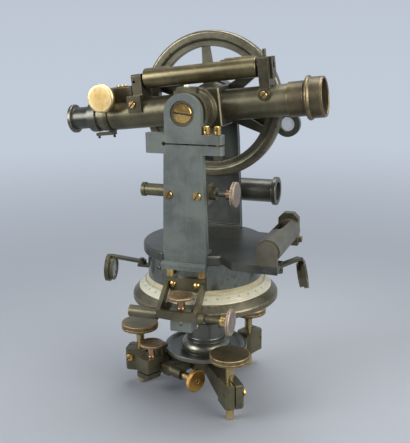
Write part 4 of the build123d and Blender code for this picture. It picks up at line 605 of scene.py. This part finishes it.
def numbers(name, marks, size, radius, height_at, place, body, outward=1):
    """Numbers round a circle: x runs along the circle and y towards its middle (or away, for outward -1)."""
    points, faces, offset = [], [], 0
    for text, degrees in marks:
        flat, triangles = glyph(text, size)
        angle = math.radians(degrees)
        out, side = np.array([math.cos(angle), math.sin(angle)]), np.array([-math.sin(angle), math.cos(angle)])
        where = out * radius + flat[:, :1] * side * outward - flat[:, 1:] * out * outward
        reach = np.hypot(where[:, 0], where[:, 1])
        points.append(np.concatenate([where, height_at(reach)[:, None]], 1))
        faces.append(triangles + offset)
        offset += len(flat)
    return finish_piece(name, placed(np.concatenate(points) * MM, place), np.concatenate(faces), body,
                        "engraving_and_slot_shade")


def graduations():
    """Half-degree lines on both silver bands, longer at 1, 5 and 10 degrees, vernier lines beside them."""
    def lines(start, lengths, direction):
        step = np.arange(720)
        size = np.where(step % 20 == 0, lengths[3], np.where(step % 10 == 0, lengths[2],
                        np.where(step % 2 == 0, lengths[1], lengths[0])))
        return np.stack([step * 0.5, np.full(720, start), start + size * direction], 1)

    def on_cone(radius):
        return cone_z(radius) + 0.03
    world = at(0, 0, 0)
    strokes("circle_lines", lines(57.75, (0.7, 1.0, 1.4, 1.7), 1), 0.09, on_cone, world, "circle")
    tens = [(str(n), n) for n in range(0, 360, 10)]
    numbers("circle_numbers", tens, 1.7, 60.35, on_cone, world, "circle")
    rows = [(centre + step * VERNIER_STEP - 7.25, 57.2,
             57.2 - (1.7 if step % 10 == 0 else 1.2 if step % 5 == 0 else 0.8))
            for centre in VERNIER_CENTRES for step in range(31)]
    strokes("vernier_lines", rows, 0.09, on_cone, world, "alidade")
    marks = [(str(step), centre + step * VERNIER_STEP - 7.25)
             for centre in VERNIER_CENTRES for step in (0, 10, 20, 30)]
    numbers("vernier_numbers", marks, 0.95, 55.1, on_cone, world, "alidade")
    place = ON_TELESCOPE @ at(0, WHEEL_Y, 0) @ TO_Y

    def on_wheel(radius):
        return radius * 0 + 4.93
    strokes("wheel_lines", lines(66.8, (0.8, 1.1, 1.6, 2.0), -1), 0.1, on_wheel, place, "telescope")
    numbers("wheel_numbers", tens, 1.8, 63.3, on_wheel, place, "telescope", -1)
    arm = TRUNNION @ Matrix.Rotation(math.radians(17.2), 4, "Y") @ TO_Y

    def on_vernier(radius):
        return radius * 0 + 33.03
    rows = [(centre + step * VERNIER_STEP - 9.7, 67.3,
             67.3 - (2.0 if step % 10 == 0 else 1.4 if step % 5 == 0 else 0.9))
            for centre in (0, 180) for step in range(41)]
    strokes("vertical_vernier_lines", rows, 0.1, on_vernier, arm, "alidade")


def slotted_head(name, radius, height, place, body, material, dome, slot_angle):
    """Screw head turned with a slightly domed top and a driver slot cut right across it."""
    profile = [(0, -0.6), (radius, -0.6), (radius, height * 0.7), (radius * 0.86, height * 0.94),
               (0, height + dome)]
    piece = lathe(name, profile, Matrix.Identity(4), body, material, (), 48, 0.2)
    size = Vector((radius * 2.4, 0.8, 1.8)) * MM
    cutter_mesh = bpy.data.meshes.new("cutter")
    corners = [(x * size.x / 2, y * size.y / 2, z * size.z / 2) for x in (-1, 1) for y in (-1, 1) for z in (-1, 1)]
    cutter_mesh.from_pydata(corners, [], BOX_FACES)
    cutter = bpy.data.objects.new("cutter", cutter_mesh)
    bpy.context.scene.collection.objects.link(cutter)
    cutter.matrix_world = about_z(slot_angle) @ Matrix.Translation((0, 0, (height + dome) * MM))
    piece.modifiers.clear()
    cut = piece.modifiers.new("cut", "BOOLEAN")
    cut.operation, cut.object, cut.solver = "DIFFERENCE", cutter, "EXACT"
    bpy.context.view_layer.update()
    mesh = bpy.data.meshes.new_from_object(piece.evaluated_get(bpy.context.evaluated_depsgraph_get()))
    piece.modifiers.clear()
    mesh.transform(place)
    mesh.set_sharp_from_angle(angle=math.radians(35))
    piece.data = mesh
    bpy.data.objects.remove(cutter)
    bpy.data.meshes.remove(cutter_mesh)
    return piece


def added_screws():
    """Small screws that sit on the turned pieces: two on the sleeve, one on the drum, one on the lug."""
    place = about_z(-100.5) @ at(18.9, 0, 53.4) @ TO_X
    slotted_head("sleeve_screw_near", 3.2, 1.8, place, "circle", "brass", 0.4, 50)
    place = about_z(-20) @ at(18.9, 0, 53.2) @ TO_X
    slotted_head("sleeve_screw_right", 3.4, 3.2, place, "circle", "brass", 0.5, 10)
    place = about_z(-121.1) @ at(54.5, 0, 118.6) @ TO_X
    slotted_head("drum_screw", 2.4, 1.2, place, "alidade", "blackened", 0.2, 80)
    slotted_head("lug_screw", 2.4, 1.6, at(-1.4, -38, 282.9), "alidade", "silvered", 0.4, 75)


def dark_slots():
    """Painted shade in the driver slots: a dark bar in each slot, nearly as long as the head is wide."""
    brackets = ((-63.4, -16.0, 9.25), (62.25, -15.4, 7.0))
    heads = [("telescope", TRUNNION @ at(0, -51.1, 0) @ Matrix.Rotation(math.radians(7), 4, "Y") @ TO_MINUS_Y, 8.5,
              2.4, 0),
             ("telescope", at(0, 53.6, TRUNNION_Z) @ TO_Y, 8.5, 2.4, 0)]
    heads += [("telescope", ON_TELESCOPE @ at(*spot) @ TO_MINUS_Y, 3.3, 1.6, 40) for spot in brackets]
    heads += [("telescope", ON_TELESCOPE @ at(s, -3.4, 26), 1.6, 1.6, 20) for s in (-81.5, -77.5, -73.5)]
    heads += [("alidade", at(x, -53.5, 190.2) @ TO_MINUS_Y, 3.7, 1.8, 60) for x in (-14.2, 12.6)]
    heads += [("tribrach", about_z(FOOT_FIRST + 120 * index) @ at(76.9, 0, 10.5) @ TO_Y @ at(0, 0, 9), 3.7, 2.2, 35)
              for index in range(3)]
    quads = np.array(BOX_FACES)
    for body in ("telescope", "alidade", "tribrach"):
        points, faces = [], []
        for owner, place, radius, top, turn in heads:
            if owner != body:
                continue
            faces.append(quads + 8 * len(points))
            half = 0.8 if radius > 5 else 0.55
            box = np.array([(x * (radius - 0.35), y * half, top - 0.9 + z * 0.92) for x in (-1, 1)
                            for y in (-1, 1) for z in (0, 1)])
            points.append(placed(box * MM, place @ about_z(turn)))
        finish_piece(f"{body}_slots", np.concatenate(points), np.concatenate(faces), body, "engraving_and_slot_shade")


graduations()
added_screws()
dark_slots()


def vials():
    """Bubble and fine rings on both vials: the bubble is a long ellipsoid cut by the vial's upper wall."""
    for name, place, body, half in (("plate_bubble", at(78.6, -9, 148.2) @ TO_Y, "alidade", 0),
                                    ("telescope_bubble", ON_TELESCOPE @ at(-3, 0, 31.2) @ TO_X, "telescope", 1)):
        u, v = np.meshgrid(np.linspace(0, np.pi, 17), np.arange(32) * np.pi / 16, indexing="ij")
        x, y, z = 1.9 * np.sin(u) * np.cos(v), 2.8 * np.sin(u) * np.sin(v), 9.0 * np.cos(u)
        top = np.array([0, -5.2, 0]) if half == 0 else np.array([-5.2, 0, 0])
        if half == 0:
            x, y = y, x
        points = (np.stack([x, y, z], 2).reshape(-1, 3) + top) * MM
        i, j = np.meshgrid(np.arange(16), np.arange(32), indexing="ij")
        on = (j + 1) % 32
        faces = np.stack([i * 32 + j, (i + 1) * 32 + j, (i + 1) * 32 + on, i * 32 + on], 2).reshape(-1, 4)
        if half == 0:
            faces = faces[:, ::-1]
        finish_piece(name, placed(points, place), faces, body, "bubble")
        for count, low in enumerate((-11.4, -9.6, 9.6, 11.4)):
            ring = [(6.36, low - 0.12), (6.44, low - 0.12), (6.44, low + 0.12), (6.36, low + 0.12)]
            lathe(f"{name}_line_{count}", ring, place, body, "engraving_and_slot_shade", (), 64, 0.02)


vials()


# Camera, floor and light

AZIMUTH, PITCH, ROLL = math.radians(19.9), math.radians(14.8), math.radians(-0.71)
EYE = (0.2324, -0.6409, 0.3333)
camera = bpy.data.cameras.new("camera")
camera.sensor_fit, camera.sensor_width, camera.lens = "AUTO", 36.0, 60.10
camera.clip_start, camera.clip_end = 0.05, 50.0
eye = bpy.data.objects.new("camera", camera)
bpy.context.scene.collection.objects.link(eye)
bpy.context.scene.camera = eye
forward = Vector((-math.sin(AZIMUTH) * math.cos(PITCH), math.cos(AZIMUTH) * math.cos(PITCH), -math.sin(PITCH)))
level_right = Vector((math.cos(AZIMUTH), math.sin(AZIMUTH), 0))
level_up = level_right.cross(forward)
right = level_right * math.cos(ROLL) + level_up * math.sin(ROLL)
up = level_up * math.cos(ROLL) - level_right * math.sin(ROLL)
eye.matrix_world = Matrix((
    (right.x, up.x, -forward.x, EYE[0]),
    (right.y, up.y, -forward.y, EYE[1]),
    (right.z, up.z, -forward.z, EYE[2]),
    (0, 0, 0, 1)))

FLOOR_Z = -20.0 * MM


def sweep():
    """Round floor that rises into a wall far away: radius up to 1.6 m flat, then a quarter circle of 1.2 m
    radius, then upright."""
    turn = np.linspace(0, np.pi / 2, 24)
    profile = [(0.0, 0.0), (0.2, 0.0), (0.8, 0.0)]
    profile += [(1.6 + 1.2 * math.sin(t), 1.2 - 1.2 * math.cos(t)) for t in turn]
    profile += [(2.8, 4.0)]
    line = np.array(profile)
    count = 96
    angle = np.arange(count) * 2 * np.pi / count
    r, z = line[:, :1], line[:, 1:]
    points = np.stack([r * np.cos(angle), r * np.sin(angle), np.repeat(z, count, 1) + FLOOR_Z], 2).reshape(-1, 3)
    i, j = np.meshgrid(np.arange(len(line) - 1), np.arange(count), indexing="ij")
    on = (j + 1) % count
    faces = np.stack([i * count + j, i * count + on, (i + 1) * count + on, (i + 1) * count + j], 2)
    mesh = bpy.data.meshes.new("sweep")
    mesh.from_pydata(points.tolist(), [], faces.reshape(-1, 4).tolist())
    mesh.polygons.foreach_set("use_smooth", np.ones(len(mesh.polygons), bool))
    floor = bpy.data.objects.new("sweep", mesh)
    bpy.context.scene.collection.objects.link(floor)
    s = Surface("sweep", (0.5, 0.5, 0.5))
    place = s.node("ShaderNodeTexCoord", out="Object")
    across = s.node("ShaderNodeSeparateXYZ", {"Vector": place}, out="X")
    along = s.node("ShaderNodeSeparateXYZ", {"Vector": place}, out="Y")
    height = s.node("ShaderNodeSeparateXYZ", {"Vector": place}, out="Z")
    reach = (across * across + along * along) ** 0.5
    far = reach.rise(0.18, 0.62)
    cloth = s.noise(place, 3.0, 3.0)
    # Far out the sweep glows for camera, glossy and transmission rays instead of showing the lit floor: painted
    # light, darker towards the middle and slightly darker up the wall.
    tone = height.rise(0.0, 0.8).mix(srgb(194, 203, 216), srgb(185, 194, 206))
    tone = reach.rise(0.30, 1.7).mix(srgb(162, 169, 179), tone)
    s.set(Base_Color=cloth.mix(srgb(147, 151, 157), srgb(153, 157, 163)), Roughness=0.85, Metallic=0.0,
          Specular_IOR_Level=0.25)
    mirrored = s.node("ShaderNodeLightPath", out="Is Glossy Ray")
    rays = s.node("ShaderNodeLightPath", out="Is Camera Ray").larger(mirrored)
    rays = rays.larger(s.node("ShaderNodeLightPath", out="Is Transmission Ray"))
    # Glossy rays toward the side behind the camera see the glow dimmed: painted shade in reflections.
    dark = (along * -1.0 - across * 0.1).rise(0.25, 0.9) * mirrored
    glow = s.node("ShaderNodeEmission", {"Color": tone, "Strength": 1.0 - dark * 0.6})
    seen = (rays * far).larger(dark)
    both = s.node("ShaderNodeMixShader", {"Fac": seen, 1: Value(s.tree, s.shader.outputs[0]), 2: glow})
    s.tree.links.new(both.socket, s.tree.nodes["Material Output"].inputs["Surface"])
    mesh.materials.append(s.material)


sweep()


def lamp(name, place, aim, size, power, colour):
    data = bpy.data.lights.new(name, "AREA")
    data.shape, data.size, data.size_y = "RECTANGLE", size[0], size[1]
    data.energy, data.color = power, colour
    light = bpy.data.objects.new(name, data)
    light.location = place
    light.rotation_mode = "QUATERNION"
    light.rotation_quaternion = (Vector(aim) - Vector(place)).to_track_quat("-Z", "Y")
    bpy.context.scene.collection.objects.link(light)


lamp("right_box", (1.35, -0.60, 0.75), (0, 0, 0.15), (1.4, 1.0), 27.0, (1.0, 0.985, 0.95))
lamp("left_box", (-1.05, -1.12, 0.75), (0, 0, 0.15), (0.9, 1.0), 23.0, (0.97, 0.98, 1.0))
lamp("top_box", (0.15, 0.35, 1.55), (0, 0, 0.1), (1.1, 1.1), 22.0, (0.98, 0.99, 1.0))
world = bpy.data.worlds.new("world")
world.use_nodes = True
world.node_tree.nodes["Background"].inputs["Color"].default_value = (0.60, 0.62, 0.64, 1)
world.node_tree.nodes["Background"].inputs["Strength"].default_value = 0.68
bpy.context.scene.world = world
bpy.context.scene.view_settings.view_transform = "Standard"
